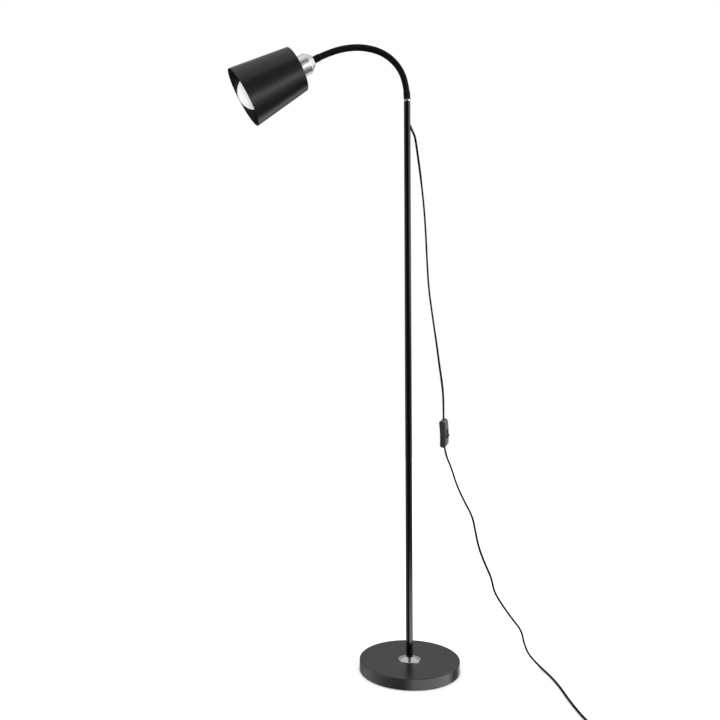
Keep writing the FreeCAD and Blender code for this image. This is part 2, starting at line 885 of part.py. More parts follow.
def shade():
    bucket = turned("lamp_shade", [
        ("shade_hole", "cup_length"),
        ("shade_back_radius", "cup_length"),
        ("shade_mouth_radius", "shade_mouth"),
        ("shade_mouth_radius - shade_wall", "shade_mouth"),
        ("shade_back_radius - shade_wall", "shade_floor"),
        ("shade_hole", "shade_floor"),
    ])
    rounded(bucket, "shade_corner_outside", "shade_corner", ("shade_back_radius", "cup_length"))
    rounded(bucket, "shade_corner_inside", "shade_corner - shade_wall",
            ("shade_back_radius - shade_wall", "shade_floor"))
    bucket.Placement = head_placement()


def bulb():
    """A large frosted globe that narrows to its housing, with a screw cap."""
    formed("bulb_globe", globe_shape(), head_placement())
    turned("bulb_housing", [
        ("0", "bulb_cap_front - bulb_overlap"),
        ("bulb_cap_radius - bulb_cap_wall", "bulb_cap_front - bulb_overlap"),
        ("bulb_cap_radius - bulb_cap_wall", "bulb_cap_front"),
        ("bulb_cap_radius + bulb_cap_wall", "bulb_cap_front"),
        ("bulb_waist_radius", "bulb_waist"),
        ("0", "bulb_waist"),
    ], head_placement())
    turned("bulb_cap", [
        ("bulb_cap_radius - bulb_cap_wall * 3", "bulb_cap_back"),
        ("bulb_cap_radius", "bulb_cap_back + bulb_cap_step"),
        ("bulb_cap_radius", "bulb_cap_front"),
        ("bulb_cap_radius - bulb_cap_wall", "bulb_cap_front"),
        ("bulb_cap_radius - bulb_cap_wall", "bulb_cap_back + bulb_cap_step + bulb_cap_wall / 2"),
        ("bulb_cap_radius - bulb_cap_mouth", "bulb_cap_back + bulb_cap_wall"),
        ("bulb_cap_radius - bulb_cap_mouth", "bulb_cap_back"),
    ], head_placement())
    turned("bulb_tip_contact", [
        ("0", "bulb_tip"),
        ("bulb_tip_radius", "bulb_tip"),
        ("bulb_tip_radius", "bulb_tip + bulb_cap_wall"),
        ("bulb_cap_radius - bulb_cap_mouth", "bulb_cap_back"),
        ("bulb_cap_radius - bulb_cap_mouth", "bulb_cap_back + bulb_cap_wall"),
        ("0", "bulb_cap_back + bulb_cap_wall"),
    ], head_placement())


def globe_side(shell_radius, foot_radius, centre, waist):
    """Front pole, a point on the round, the point where it turns straight, and the foot."""
    drop = centre - waist
    reach = math.hypot(drop, foot_radius)
    angle = math.pi - math.atan2(foot_radius, drop) - math.acos(shell_radius / reach)
    touch = FreeCAD.Vector(shell_radius * math.sin(angle), 0, centre + shell_radius * math.cos(angle))
    middle = FreeCAD.Vector(shell_radius * math.sin(angle / 2), 0, centre + shell_radius * math.cos(angle / 2))
    front = FreeCAD.Vector(0, 0, centre + shell_radius)
    foot = FreeCAD.Vector(foot_radius, 0, waist)
    return front, middle, touch, foot


def globe_shape():
    """Turned shell: a round front whose back runs in a tangent line to the waist."""
    radius, wall, waist, foot_radius = (
        size(name) for name in ("bulb_radius", "bulb_wall", "bulb_waist", "bulb_waist_radius"))
    centre = size("bulb_front - bulb_radius")
    front, middle, touch, foot = globe_side(radius, foot_radius, centre, waist)
    front_in, middle_in, touch_in, foot_in = globe_side(radius - wall, foot_radius - wall, centre, waist)
    outline = Part.Wire([
        Part.Arc(front, middle, touch).toShape(),
        Part.LineSegment(touch, foot).toShape(),
        Part.LineSegment(foot, foot_in).toShape(),
        Part.LineSegment(foot_in, touch_in).toShape(),
        Part.Arc(touch_in, middle_in, front_in).toShape(),
        Part.LineSegment(front_in, front).toShape(),
    ])
    return Part.Face(outline).revolve(ORIGIN, Z, 360)


# Hand switch on the cord


def switch_ends():
    """Where the cord enters the switch's upper and lower end; the upper end leans to the front."""
    pitch = math.radians(size("switch_pitch"))
    length = size("switch_length")
    down = FreeCAD.Vector(size("switch_lean"), length * math.sin(pitch), -length * math.cos(pitch))
    return SWITCH_TOP, SWITCH_TOP + down


def switch_frame():
    """Local Z runs up the switch, local X is the rocker's face and local Y its width."""
    top, foot = switch_ends()
    up = (top - foot).normalize()
    face_angle = math.radians(-size("switch_turn"))
    face = FreeCAD.Vector(math.cos(face_angle), math.sin(face_angle), 0)
    side = up.cross(face).normalize()
    face = side.cross(up)
    return facing((top + foot) / 2, face, side, up)


def switch_reach():
    return (switch_ends()[0] - switch_ends()[1]).Length / 2


def switch_outline(front, inset):
    """Side view of one half: square at the split, rounded ends and a bowed outer face."""
    depth = size("switch_split") if front else size("switch_depth - switch_split")
    sign = 1.0 if front else -1.0
    corner = size("switch_corner")
    reach = switch_reach() - inset
    deep = depth - inset
    bowed = deep + sign * size("switch_bow")
    soft = corner * (1 - math.sqrt(0.5))
    points = [
        (0, -reach), (deep - corner, -reach), (deep - soft, -reach + soft),
        (deep, -reach + corner), (bowed, 0), (deep, reach - corner),
        (deep - soft, reach - soft), (deep - corner, reach), (0, reach),
    ]
    v = [FreeCAD.Vector(sign * across, 0, along) for across, along in points]
    return Part.Face(Part.Wire([
        Part.LineSegment(v[0], v[1]).toShape(),
        Part.Arc(v[1], v[2], v[3]).toShape(),
        Part.Arc(v[3], v[4], v[5]).toShape(),
        Part.Arc(v[5], v[6], v[7]).toShape(),
        Part.LineSegment(v[7], v[8]).toShape(),
        Part.LineSegment(v[8], v[0]).toShape(),
    ]))


def block_across(face, width):
    """A flat outline raised by a width, centred on its plane."""
    block = face.extrude(Y * width)
    block.translate(Y * (-width / 2))
    return block


def switch_half(front):
    """One half of the shell: a hollow block with cord holes, and the rocker's window in front."""
    wall = size("switch_wall")
    shell = block_across(switch_outline(front, 0.0), size("switch_width"))
    room = block_across(switch_outline(front, wall), size("switch_width - 2 * switch_wall"))
    shell = shell.cut(room)
    way = Part.makeCylinder(size("cord_radius + switch_cord_gap"), wall + 2)
    for low in (switch_reach() - wall - 1, -switch_reach() - 1):
        hole = way.copy()
        hole.translate(Z * low)
        shell = shell.cut(hole)
    if front:
        across = size("rocker_width + 2 * rocker_gap")
        along = size("rocker_length + 2 * rocker_gap")
        window = Part.makeBox(size("switch_depth"), across, along)
        window.translate(FreeCAD.Vector(size("switch_wall"), -across / 2, -along / 2))
        shell = shell.cut(window)
    return with_posts(shell, room, front)


def screw_points():
    """Where the two screws enter the back of the switch, at opposite corners."""
    back = size("switch_split - switch_depth + switch_bow * 0.4")
    side = size("switch_width / 2 - screw_side_inset")
    reach = size("switch_length / 2 - screw_end_inset")
    return [FreeCAD.Vector(back, end * side, end * reach) for end in (1, -1)]


def with_posts(shell, room, front):
    """Adds the two screw posts inside a half and bores them for the screws."""
    depth = size("switch_depth")
    for point in screw_points():
        middle = FreeCAD.Vector(0, point.y, point.z)
        post = Part.makeCylinder(size("screw_post_radius"), depth, middle, X * (1 if front else -1))
        shell = shell.fuse(post.common(room))
    for point in screw_points():
        start = FreeCAD.Vector(-depth, point.y, point.z)
        bore = Part.makeCylinder(size("screw_radius + screw_gap"), depth + size("screw_grip"), start, X)
        seat = point.x + size("switch_wall") * SCREW_SINK + size("screw_head_height") - start.x
        shell = shell.cut(bore)
        shell = shell.cut(Part.makeCylinder(size("screw_head_radius + screw_head_gap"), seat, start, X))
    return shell.removeSplitter()


def rocker_pin_point():
    return FreeCAD.Vector(size("switch_split - rocker_pin_depth"), 0, 0)


def rocker_shape():
    """A rocker bent about its pin, tilted so that its lower end stands out."""
    half = size("rocker_length") / 2
    heel = size("rocker_heel")
    side = size("rocker_side")
    out = size("switch_bow + rocker_pin_depth")
    crest = out + size("rocker_rise")
    edge = half - size("rocker_edge")
    points = [
        (out - side, -half), (crest, -edge), (out - size("rocker_dip"), 0),
        (crest, edge), (out - side, half), (-heel, side), (-heel, -side), (out - side, -half),
    ]
    corners = [FreeCAD.Vector(across, 0, along) for across, along in points]
    block = block_across(Part.Face(Part.makePolygon(corners)), size("rocker_width"))
    pin_length = size("switch_width - 2 * switch_wall - 2 * rocker_pin_play")
    block = block.fuse(Part.makeCylinder(size("rocker_pin_radius"), pin_length, Y * (-pin_length / 2), Y))
    block.rotate(ORIGIN, Y, -size("rocker_tilt"))
    block.translate(rocker_pin_point())
    return block


def hand_switch():
    frame = switch_frame()
    formed("switch_front", switch_half(True), frame)
    formed("switch_back", switch_half(False), frame)
    formed("switch_rocker", rocker_shape(), frame)
    contacts = []
    deep, wide, high = size("terminal_depth"), size("terminal_width"), size("terminal_height")
    for end in (1, -1):
        middle = end * size("switch_length / 2 - terminal_end_inset")
        block = Part.makeBox(deep, wide, high)
        block.translate(FreeCAD.Vector(-size("terminal_back"), -wide / 2, middle - high / 2))
        contacts.append(block)
    formed("switch_terminals", Part.makeCompound(contacts), frame)
    screws = []
    for point in screw_points():
        low = point + X * size("switch_wall") * SCREW_SINK
        head = Part.makeCylinder(size("screw_head_radius"), size("screw_head_height"), low, X)
        stem = Part.makeCylinder(size("screw_radius"), size("screw_length"), low, X)
        screws.append(head.fuse(stem))
    formed("switch_screws", Part.makeCompound(screws), frame)


# Cord, coil and plug


def cords():
    top, foot = switch_ends()
    boot_tip = boot_placement().Base + boot_direction() * size("boot_length")
    upper = [boot_tip, boot_tip + boot_direction() * size("boot_lead")]
    upper += [FreeCAD.Vector(*point) for point in UPPER_ROUTE]
    upper.append(top)
    tube_along("cord_upper", rounded_route("cord_upper", upper), size("cord_radius"))
    lower = [foot]
    lower += [FreeCAD.Vector(*point) for point in LOWER_ROUTE]
    start = FreeCAD.Vector(COIL_START)
    start.z = coil_height(0.0)
    lower.append(start)
    tube_along("cord_lower", rounded_route("cord_lower", lower), size("cord_radius"))
    coil(start, lower[-1] - lower[-2])


def coil_height(share):
    """Centre height: the lower layer up to the half turn in the middle, then the upper one."""
    climb = 0.5 / (2 * COIL_TURNS_PER_LAYER)
    part = (share - 0.5 + climb / 2) / climb
    part = max(0.0, min(1.0, part))
    smooth = part * part * (3 - 2 * part)
    return size("coil_lift + cord_radius") + size("coil_step") * smooth


def coil_point(share, centre, first_angle):
    """The spiral goes in by one step a turn and out again, counter-clockwise from above."""
    turns = 2 * COIL_TURNS_PER_LAYER
    angle = first_angle + 2 * math.pi * turns * share
    inward = size("coil_step") * turns * (0.5 - abs(share - 0.5))
    radius = size("coil_radius") - inward
    return FreeCAD.Vector(centre.x + radius * math.cos(angle), centre.y + radius * math.sin(angle),
                          coil_height(share))


def coil(start, arriving):
    """The put-away cord: one unbroken tube in two layers, ending straight at the plug."""
    arriving = FreeCAD.Vector(arriving.x, arriving.y, 0).normalize()
    straight_end = size("2 * cord_radius")
    first = start + arriving * straight_end
    side = FreeCAD.Vector(-arriving.y, arriving.x, 0)
    centre = first + side * size("coil_radius")
    first_angle = math.atan2(-side.y, -side.x)
    quarters = round(8 * COIL_TURNS_PER_LAYER)
    points = [coil_point(number / quarters, centre, first_angle) for number in range(quarters + 1)]
    delta = 1e-4
    tangents = []
    for number in range(quarters + 1):
        share = number / quarters
        before = coil_point(max(0.0, share - delta), centre, first_angle)
        after = coil_point(min(1.0, share + delta), centre, first_angle)
        tangents.append((after - before).normalize())
    tangents[0] = arriving
    tangents[-1] = FreeCAD.Vector(tangents[-1].x, tangents[-1].y, 0).normalize()
    edges = [Part.LineSegment(start, first)]
    for number in range(quarters):
        edges += biarc(points[number], tangents[number], points[number + 1], tangents[number + 1])
    tail = points[-1] + tangents[-1] * straight_end
    edges.append(Part.LineSegment(points[-1], tail))
    wire = tube_along("cord_coil", edges, size("cord_radius"))
    print("cord_coil: least gap to itself %.2f mm" % self_gap(wire))
    tie(centre, first_angle)
    plug(tail, tangents[-1])


def self_gap(wire):
    """Least clear distance between stretches of the wound tube a third of a turn apart."""
    count = 600
    points = wire.discretize(count)
    spacing = wire.Length / (count - 1)
    apart = int(2 * math.pi * size("coil_radius") / 3 / spacing)
    least = min(
        (points[a] - points[b]).Length
        for a in range(count)
        for b in range(a + apart, count)
    )
    return least - size("2 * cord_radius")


def tie(centre, first_angle):
    """A square band round the bundle of turns."""
    gap = size("tie_gap")
    thick = size("tie_thickness")
    width = size("tie_width")
    outer_reach = size("coil_radius + cord_radius + tie_gap")
    inner_reach = size("coil_radius - cord_radius - tie_gap") - size("coil_step") * COIL_TURNS_PER_LAYER
    low = size("coil_lift - tie_gap")
    high = size("coil_lift + 2 * cord_radius + coil_step") + gap
    outer = Part.makeBox(outer_reach - inner_reach + 2 * thick, width, high - low + 2 * thick)
    outer.translate(FreeCAD.Vector(inner_reach - thick, -width / 2, low - thick))
    inner = Part.makeBox(outer_reach - inner_reach, width, high - low)
    inner.translate(FreeCAD.Vector(inner_reach, -width / 2, low))
    turn = FreeCAD.Rotation(Z, math.degrees(first_angle) + size("tie_angle"))
    formed("coil_tie", outer.cut(inner), FreeCAD.Placement(FreeCAD.Vector(centre.x, centre.y, 0), turn))


def plug(tail, along):
    """A flat two-pin mains plug that lies on the floor beside the coil."""
    frame = facing(tail, Z.cross(along).normalize(), Z, along)
    boot = size("plug_boot_length")
    drop = size("plug_height") / 2 - tail.z
    boot_shape = Part.makeCone(size("cord_radius + plug_boot_wall"), size("cord_radius + plug_boot_flare"), boot)
    formed("plug_boot", boot_shape, frame)
    sections = [
        slot_wire(size("plug_neck_width"), boot, drop),
        slot_wire(size("plug_width"), boot + size("plug_taper"), drop),
        slot_wire(size("plug_width"), boot + size("plug_length"), drop),
    ]
    formed("plug_body", Part.makeLoft(sections, True, True), frame)
    pins = []
    for hand in (1, -1):
        foot = FreeCAD.Vector(hand * size("pin_spacing") / 2, drop, boot + size("plug_length"))
        pins.append(Part.makeCylinder(size("pin_radius"), size("pin_length"), foot, Z))
    formed("plug_pins", Part.makeCompound(pins), frame)


def slot_wire(width, along, drop):
    """A section of the plug: two straight sides and two round ends, just clear of the floor."""
    floor_gap = 0.01
    radius = size("plug_height") / 2 - floor_gap
    reach = width / 2 - radius
    return Part.Wire([
        Part.LineSegment(FreeCAD.Vector(-reach, drop - radius, along),
                         FreeCAD.Vector(reach, drop - radius, along)).toShape(),
        Part.Arc(FreeCAD.Vector(reach, drop - radius, along),
                 FreeCAD.Vector(reach + radius, drop, along),
                 FreeCAD.Vector(reach, drop + radius, along)).toShape(),
        Part.LineSegment(FreeCAD.Vector(reach, drop + radius, along),
                         FreeCAD.Vector(-reach, drop + radius, along)).toShape(),
        Part.Arc(FreeCAD.Vector(-reach, drop + radius, along),
                 FreeCAD.Vector(-reach - radius, drop, along),
                 FreeCAD.Vector(-reach, drop - radius, along)).toShape(),
    ])


base()
pole()
strain_relief()
ring_and_stud()
neck()
cup_and_fittings()
lampholder()
shade()
bulb()
hand_switch()
cords()
doc.recompute()

used_up = set()
for thing in doc.Objects:
    if "Invalid" in thing.State or "Error" in thing.State:
        raise RuntimeError("%s did not build: %s" % (thing.Label, thing.State))
    if thing.TypeId in ("Part::Cut", "Part::Fuse"):
        used_up.update((thing.Base.Name, thing.Tool.Name))

PIECE_TYPES = ("PartDesign::Body", "Part::Feature", "Part::Cut", "Part::Fuse",
               "Part::Cone", "Part::Torus", "Part::Cylinder", "Part::Sphere")
pieces = [thing for thing in doc.Objects if thing.TypeId in PIECE_TYPES and thing.Name not in used_up]
for piece in pieces:
    if piece.Shape.isNull() or not piece.Shape.isValid():
        raise RuntimeError("%s has no valid shape" % piece.Label)
os.makedirs("parts", exist_ok=True)
for piece in pieces:
    piece.Shape.exportStep("parts/%s.step" % piece.Label)
    print("%s: %d solid(s), %.0f mm3" % (piece.Label, len(piece.Shape.Solids), piece.Shape.Volume))
print("%d nodes" % len(pieces))
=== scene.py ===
import json
import math

import bpy
import numpy as np
from mathutils import Matrix


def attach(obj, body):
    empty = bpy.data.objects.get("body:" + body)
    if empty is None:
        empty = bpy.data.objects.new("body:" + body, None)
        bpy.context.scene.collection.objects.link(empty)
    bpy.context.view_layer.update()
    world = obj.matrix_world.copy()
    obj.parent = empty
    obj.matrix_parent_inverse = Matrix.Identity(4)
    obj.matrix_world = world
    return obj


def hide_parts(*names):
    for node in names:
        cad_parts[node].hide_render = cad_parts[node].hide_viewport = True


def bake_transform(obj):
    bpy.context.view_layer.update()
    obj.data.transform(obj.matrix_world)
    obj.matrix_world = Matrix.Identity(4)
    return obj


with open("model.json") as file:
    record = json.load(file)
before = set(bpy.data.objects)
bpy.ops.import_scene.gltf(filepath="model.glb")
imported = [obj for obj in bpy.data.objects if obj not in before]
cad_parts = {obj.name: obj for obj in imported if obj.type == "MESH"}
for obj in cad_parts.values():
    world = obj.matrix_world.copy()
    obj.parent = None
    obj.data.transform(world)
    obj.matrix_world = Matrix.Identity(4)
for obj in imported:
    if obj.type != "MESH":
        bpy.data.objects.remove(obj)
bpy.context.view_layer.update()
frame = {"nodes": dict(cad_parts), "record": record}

MM = 0.001
UP = np.array([0.0, 0.0, 1.0])
ACROSS = np.array([0.0, 1.0, 0.0])

# Sizes of the lamp, millimetres, as the frame has them
BASE_RADIUS, BASE_HEIGHT = 115.0, 24.0
DISH_RADIUS, DISH_TOP, COVER_FOOT = 27.0, 21.0, 0.8
COLLAR_RADIUS, COLLAR_NECK, COLLAR_TOP = 25.5, 10.5, 29.0
PAD_RADIUS, PAD_HEIGHT = 111.0, 2.0
TUBE_RADIUS, TUBE_LENGTH, TUBE_FOOT = 8.0, 334.0, 9.5
POLE_TOP = TUBE_FOOT + 4 * TUBE_LENGTH
RING_RADIUS, RING_BORE, RING_HEIGHT = 8.3, 5.05, 4.5
NECK_PITCH, NECK_RADIUS, CUFF_RADIUS = 53.25, 7.6, 8.4
FOOT_CUFF, HEAD_CUFF = 21.5, 19.0
BEND_REACH, BALL_SHY = 20.0, 0.04
NECK_TURNS = (15.4, 30.8, 30.3, 20.9, 16.2, 8.1)
SWITCH_TOP = np.array([84.4, -0.5, 569.6])
SWITCH_FOOT = np.array([90.5, 18.07, 507.309])
SWITCH_FACE = -33.5
CORD_WIDTH, CORD_THICKNESS = 5.4, 3.6
BOOT_ROOT, BOOT_TILT, BOOT_LENGTH, BOOT_LEAD = np.array([6.5, 0.0, 1286.9]), 65.0, 20.0, 10.0


# Camera: where the photograph was taken from

CAMERA_PLACE = np.array([-275.5, -1498.3, 602.0])
CAMERA_HEADING, CAMERA_TILT, CAMERA_ROLL = 6.1, 4.13, 0.06
CAMERA_LENS, SENSOR_WIDTH = 32.0, 36.0


def add_camera():
    """A camera tilted up about four degrees, with the photograph's field of view."""
    heading, tilt, roll = (math.radians(angle) for angle in (CAMERA_HEADING, CAMERA_TILT, CAMERA_ROLL))
    level = np.array([math.sin(heading), math.cos(heading), 0.0])
    ahead = level * math.cos(tilt) + UP * math.sin(tilt)
    right = np.array([math.cos(heading), -math.sin(heading), 0.0])
    down = np.cross(ahead, right)
    camera_x = math.cos(roll) * right - math.sin(roll) * down
    camera_y = -(math.sin(roll) * right + math.cos(roll) * down)
    data = bpy.data.cameras.new("photo_camera")
    data.sensor_width = SENSOR_WIDTH
    data.lens = CAMERA_LENS
    data.clip_end = 100.0
    camera = new_object("photo_camera", data)
    camera.matrix_world = placed(camera_x, camera_y, -ahead, CAMERA_PLACE * MM)
    bpy.context.scene.camera = camera


def new_object(name, data):
    thing = bpy.data.objects.new(name, data)
    bpy.context.collection.objects.link(thing)
    return thing


def placed(x_axis, y_axis, z_axis, place):
    """A matrix from three axes and a place."""
    matrix = np.eye(4)
    matrix[:3, :] = np.stack([x_axis, y_axis, z_axis, place], axis=1)
    return Matrix(matrix.tolist())


# Surfaces

def unit(vector):
    vector = np.asarray(vector, float)
    return vector / np.linalg.norm(vector, axis=-1, keepdims=True)


def circle(count):
    """Angles once round, evenly spaced."""
    return np.linspace(0, 2 * math.pi, count, endpoint=False)


def smooth(share):
    """Rises from nothing to one with a level start and a level end."""
    return share * share * (3 - 2 * share)


def grid_quads(rows, columns, close_rows=False, close_columns=True):
    """Faces of a grid of points, row after row, joined round either way."""
    row = np.arange(rows if close_rows else rows - 1)
    column = np.arange(columns if close_columns else columns - 1)
    a, b = np.meshgrid(row, column, indexing="ij")
    a_next, b_next = (a + 1) % rows, (b + 1) % columns
    corners = [a * columns + b, a * columns + b_next, a_next * columns + b_next, a_next * columns + b]
    return np.stack([c.ravel() for c in corners], axis=1)


def sheet_uv(along, around):
    """UV of a tube's points: the distance along it and the way round it."""
    return np.stack(np.broadcast_arrays(along[:, None], around[None, :]), axis=-1).reshape(-1, 2)


def shell_faces(rows, columns, flip=False):
    """Faces of two like grids of points, one after the other: the outer sheet, the inner sheet
    facing the other way, and the wall that joins their rims."""
    outer = grid_quads(rows, columns, close_columns=False)
    inner = outer[:, ::-1] + rows * columns
    rim = np.concatenate([
        np.arange(columns), np.arange(1, rows) * columns + columns - 1,
        (rows - 1) * columns + np.arange(columns - 2, -1, -1), np.arange(rows - 2, 0, -1) * columns,
    ])
    after = np.roll(rim, -1)
    wall = np.stack([rim, rim + rows * columns, after + rows * columns, after], axis=1)
    faces = np.vstack([outer, inner, wall])
    return faces[:, ::-1] if flip else faces


def piece(name, points_mm, quads, body, slot, finish=None, caps=(), sharp=35.0, uv=None):
    """A new surface in the lamp's frame that rides on a body. Its finish is named like its slot
    unless another is given."""
    mesh = bpy.data.meshes.new(name)
    faces = quads.tolist() + list(caps)
    mesh.from_pydata((np.asarray(points_mm, float) * MM).reshape(-1, 3).tolist(), [], faces)
    if uv is not None:
        layer = mesh.uv_layers.new(name="along")
        loops = np.empty(len(mesh.loops), np.int32)
        mesh.loops.foreach_get("vertex_index", loops)
        layer.data.foreach_set("uv", np.asarray(uv, np.float32)[loops].ravel())
    mesh.validate()
    mesh.shade_smooth()
    mesh.set_sharp_from_angle(angle=math.radians(sharp))
    mesh.materials.append(MATERIALS[finish or slot])
    thing = new_object(name, mesh)
    if body is not None:
        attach(thing, body)
    return thing


def tube(name, points, body, slot, finish=None, flip=False, **more):
    """A piece from rings of points along a path, closed by a many-sided face at each end."""
    rows, ring = points.shape[:2]
    quads = grid_quads(rows, ring)
    first, last = list(range(ring)), list(range((rows - 1) * ring, rows * ring))
    if flip:
        return piece(name, points, quads[:, ::-1], body, slot, finish, [first, last[::-1]], **more)
    return piece(name, points, quads, body, slot, finish, [first[::-1], last], **more)


def rounded(corners, steps=6):
    """Corners (radius, along, fillet) turned into arcs, with a guard point beside each arc
    that keeps the shading of flat stretches flat."""
    corners = np.asarray(corners, float)
    count = len(corners)
    line = []
    for number in range(count):
        here, fillet = corners[number, :2], corners[number, 2]
        into = here - corners[number - 1, :2]
        out = corners[(number + 1) % count, :2] - here
        into_length, out_length = np.linalg.norm(into), np.linalg.norm(out)
        into, out = into / into_length, out / out_length
        turn = math.acos(np.clip(into @ out, -1, 1))
        if fillet <= 0 or turn < 1e-3:
            line.append(here)
            continue
        reach = min(fillet * math.tan(turn / 2), 0.48 * into_length, 0.48 * out_length)
        radius = reach / math.tan(turn / 2)
        side = np.sign(into[0] * out[1] - into[1] * out[0])
        normal = side * np.array([-into[1], into[0]])
        start = here - into * reach
        centre = start + normal * radius
        angle = np.linspace(0, turn, steps + 1)
        arc = centre - normal * radius * np.cos(angle)[:, None] + into * radius * np.sin(angle)[:, None]
        guard = min(0.25 * reach, 0.3)
        line.append(start - into * guard)
        line.extend(arc)
        line.append(arc[-1] + out * guard)
    return np.array(line)


def turned(name, profile, body, slot, finish=None, origin=(0, 0, 0), axis=UP, segments=160, closed=True,
           ripple=None):
    """A profile of (radius, along) carried round an axis. A closed profile makes a ring;
    an open one runs from axis to axis and its end points become poles. ripple moves the
    radius by a function of the angle and the distance along."""
    profile = np.asarray(profile, float)
    axis = unit(axis)
    side = unit(np.cross(ACROSS, axis)) if abs(axis[1]) < 0.9 else np.array([1.0, 0, 0])
    other = np.cross(axis, side)
    angle = circle(segments)
    poles = not closed
    body_rows = profile[1:-1] if poles else profile
    radius = np.repeat(body_rows[:, :1], segments, axis=1)
    along = np.repeat(body_rows[:, 1:], segments, axis=1)
    if ripple is not None:
        radius = radius + ripple(angle[None, :], along, radius)
    ring = np.cos(angle)[None, :, None] * side + np.sin(angle)[None, :, None] * other
    points = np.asarray(origin, float) + radius[..., None] * ring + along[..., None] * axis
    rows = len(body_rows)
    quads = grid_quads(rows, segments, close_rows=closed)
    flat = points.reshape(-1, 3)
    caps = []
    if poles:
        ends = [np.asarray(origin) + axis * profile[row, 1] for row in (0, -1)]
        flat = np.vstack([flat, *ends])
        first, last = rows * segments, rows * segments + 1
        here = np.arange(segments)
        after = np.roll(here, -1)
        top = (rows - 1) * segments
        low = np.stack([np.full(segments, first), after, here], axis=1)
        high = np.stack([np.full(segments, last), top + here, top + after], axis=1)
        caps = low.tolist() + high.tolist()
    if signed_area(profile) < 0:
        quads = quads[:, ::-1]
        caps = [face[::-1] for face in caps]
    return piece(name, flat, quads, body, slot, finish, caps)


def signed_area(profile):
    """Positive where the profile, closed along the axis, runs so that faces point outwards."""
    x, y = profile[:, 0], profile[:, 1]
    return 0.5 * np.sum(x * np.roll(y, -1) - np.roll(x, -1) * y)


# Materials

def shader_group(name, inputs, outputs, build):
    """A node group with named inputs and outputs whose inside is made by build."""
    group = bpy.data.node_groups.new(name, "ShaderNodeTree")
    for way, sockets in (("INPUT", inputs), ("OUTPUT", outputs)):
        for label, kind in sockets.items():
            group.interface.new_socket(label, in_out=way, socket_type="NodeSocket" + kind)
    source = group.nodes.new("NodeGroupInput")
    target = group.nodes.new("NodeGroupOutput")
    build(group, source, target)
    return group


def set_inputs(node, values):
    for label, value in values.items():
        node.inputs[label].default_value = value


def feed(tree, socket, value):
    """Sets a socket to a number or links it to another node's output."""
    if isinstance(value, (int, float)):
        socket.default_value = value
    else:
        tree.links.new(value, socket)


def math_node(tree, operation, *values):
    node = tree.nodes.new("ShaderNodeMath")
    node.operation = operation
    for number, value in enumerate(values):
        feed(tree, node.inputs[number], value)
    return node.outputs[0]


def noise(tree, vector, scale, detail=3.0, roughness=0.55):
    node = tree.nodes.new("ShaderNodeTexNoise")
    set_inputs(node, {"Detail": detail, "Roughness": roughness})
    feed(tree, node.inputs["Scale"], scale)
    tree.links.new(vector, node.inputs["Vector"])
    return node.outputs["Fac"]


def coat_group():
    """Sprayed coat: fine orange peel as height, and slow patches in roughness and tone."""

    def build(tree, source, target):
        fine = noise(tree, source.outputs["Vector"], source.outputs["Peel Scale"], 2.0)
        slow = noise(tree, source.outputs["Vector"], 14.0, 2.0)
        swing = math_node(tree, "SUBTRACT", slow, 0.5)
        rough = math_node(tree, "MULTIPLY_ADD", swing, source.outputs["Roughness Spread"],
                          source.outputs["Roughness"])
        mix = tree.nodes.new("ShaderNodeMix")
        mix.data_type = "RGBA"
        tree.links.new(slow, mix.inputs["Factor"])
        tree.links.new(source.outputs["Tone"], mix.inputs[6])
        tree.links.new(source.outputs["Tone Patch"], mix.inputs[7])
        tree.links.new(mix.outputs[2], target.inputs["Color"])
        tree.links.new(rough, target.inputs["Roughness"])
        tree.links.new(fine, target.inputs["Height"])

    return shader_group(
        "sprayed_coat",
        {"Vector": "Vector", "Peel Scale": "Float", "Roughness": "Float", "Roughness Spread": "Float",
         "Tone": "Color", "Tone Patch": "Color"},
        {"Color": "Color", "Roughness": "Float", "Height": "Float"}, build)


def turning_group():
    """Turned or drawn metal: fine lines round an axis as height and as streaks in roughness."""

    def build(tree, source, target):
        split = tree.nodes.new("ShaderNodeSeparateXYZ")
        tree.links.new(source.outputs["Vector"], split.inputs[0])
        squares = math_node(tree, "ADD", math_node(tree, "MULTIPLY", split.outputs[0], split.outputs[0]),
                            math_node(tree, "MULTIPLY", split.outputs[1], split.outputs[1]))
        radius = math_node(tree, "SQRT", squares)
        merge = tree.nodes.new("ShaderNodeCombineXYZ")
        for value, socket in ((radius, 0), (split.outputs[2], 2)):
            scaled = math_node(tree, "MULTIPLY", value, source.outputs["Line Scale"])
            tree.links.new(scaled, merge.inputs[socket])
        lines = noise(tree, merge.outputs[0], 1.0, 2.0, 0.7)
        swing = math_node(tree, "SUBTRACT", lines, 0.5)
        rough = math_node(tree, "MULTIPLY_ADD", swing, source.outputs["Roughness Spread"],
                          source.outputs["Roughness"])
        tree.links.new(rough, target.inputs["Roughness"])
        tree.links.new(lines, target.inputs["Height"])

    return shader_group(
        "turned_metal",
        {"Vector": "Vector", "Line Scale": "Float", "Roughness": "Float", "Roughness Spread": "Float"},
        {"Roughness": "Float", "Height": "Float"}, build)


COAT = coat_group()
TURNING = turning_group()


def new_material(name, color, metallic=0.0, roughness=0.4, specular=0.5, sheen=0.0, sheen_roughness=0.5):
    material = bpy.data.materials.new(name)
    material.use_nodes = True
    shader = material.node_tree.nodes["Principled BSDF"]
    set_inputs(shader, {
        "Base Color": (*color, 1.0), "Metallic": metallic, "Roughness": roughness,
        "Specular IOR Level": specular, "Sheen Weight": sheen, "Sheen Roughness": sheen_roughness,
    })
    return material, material.node_tree, shader


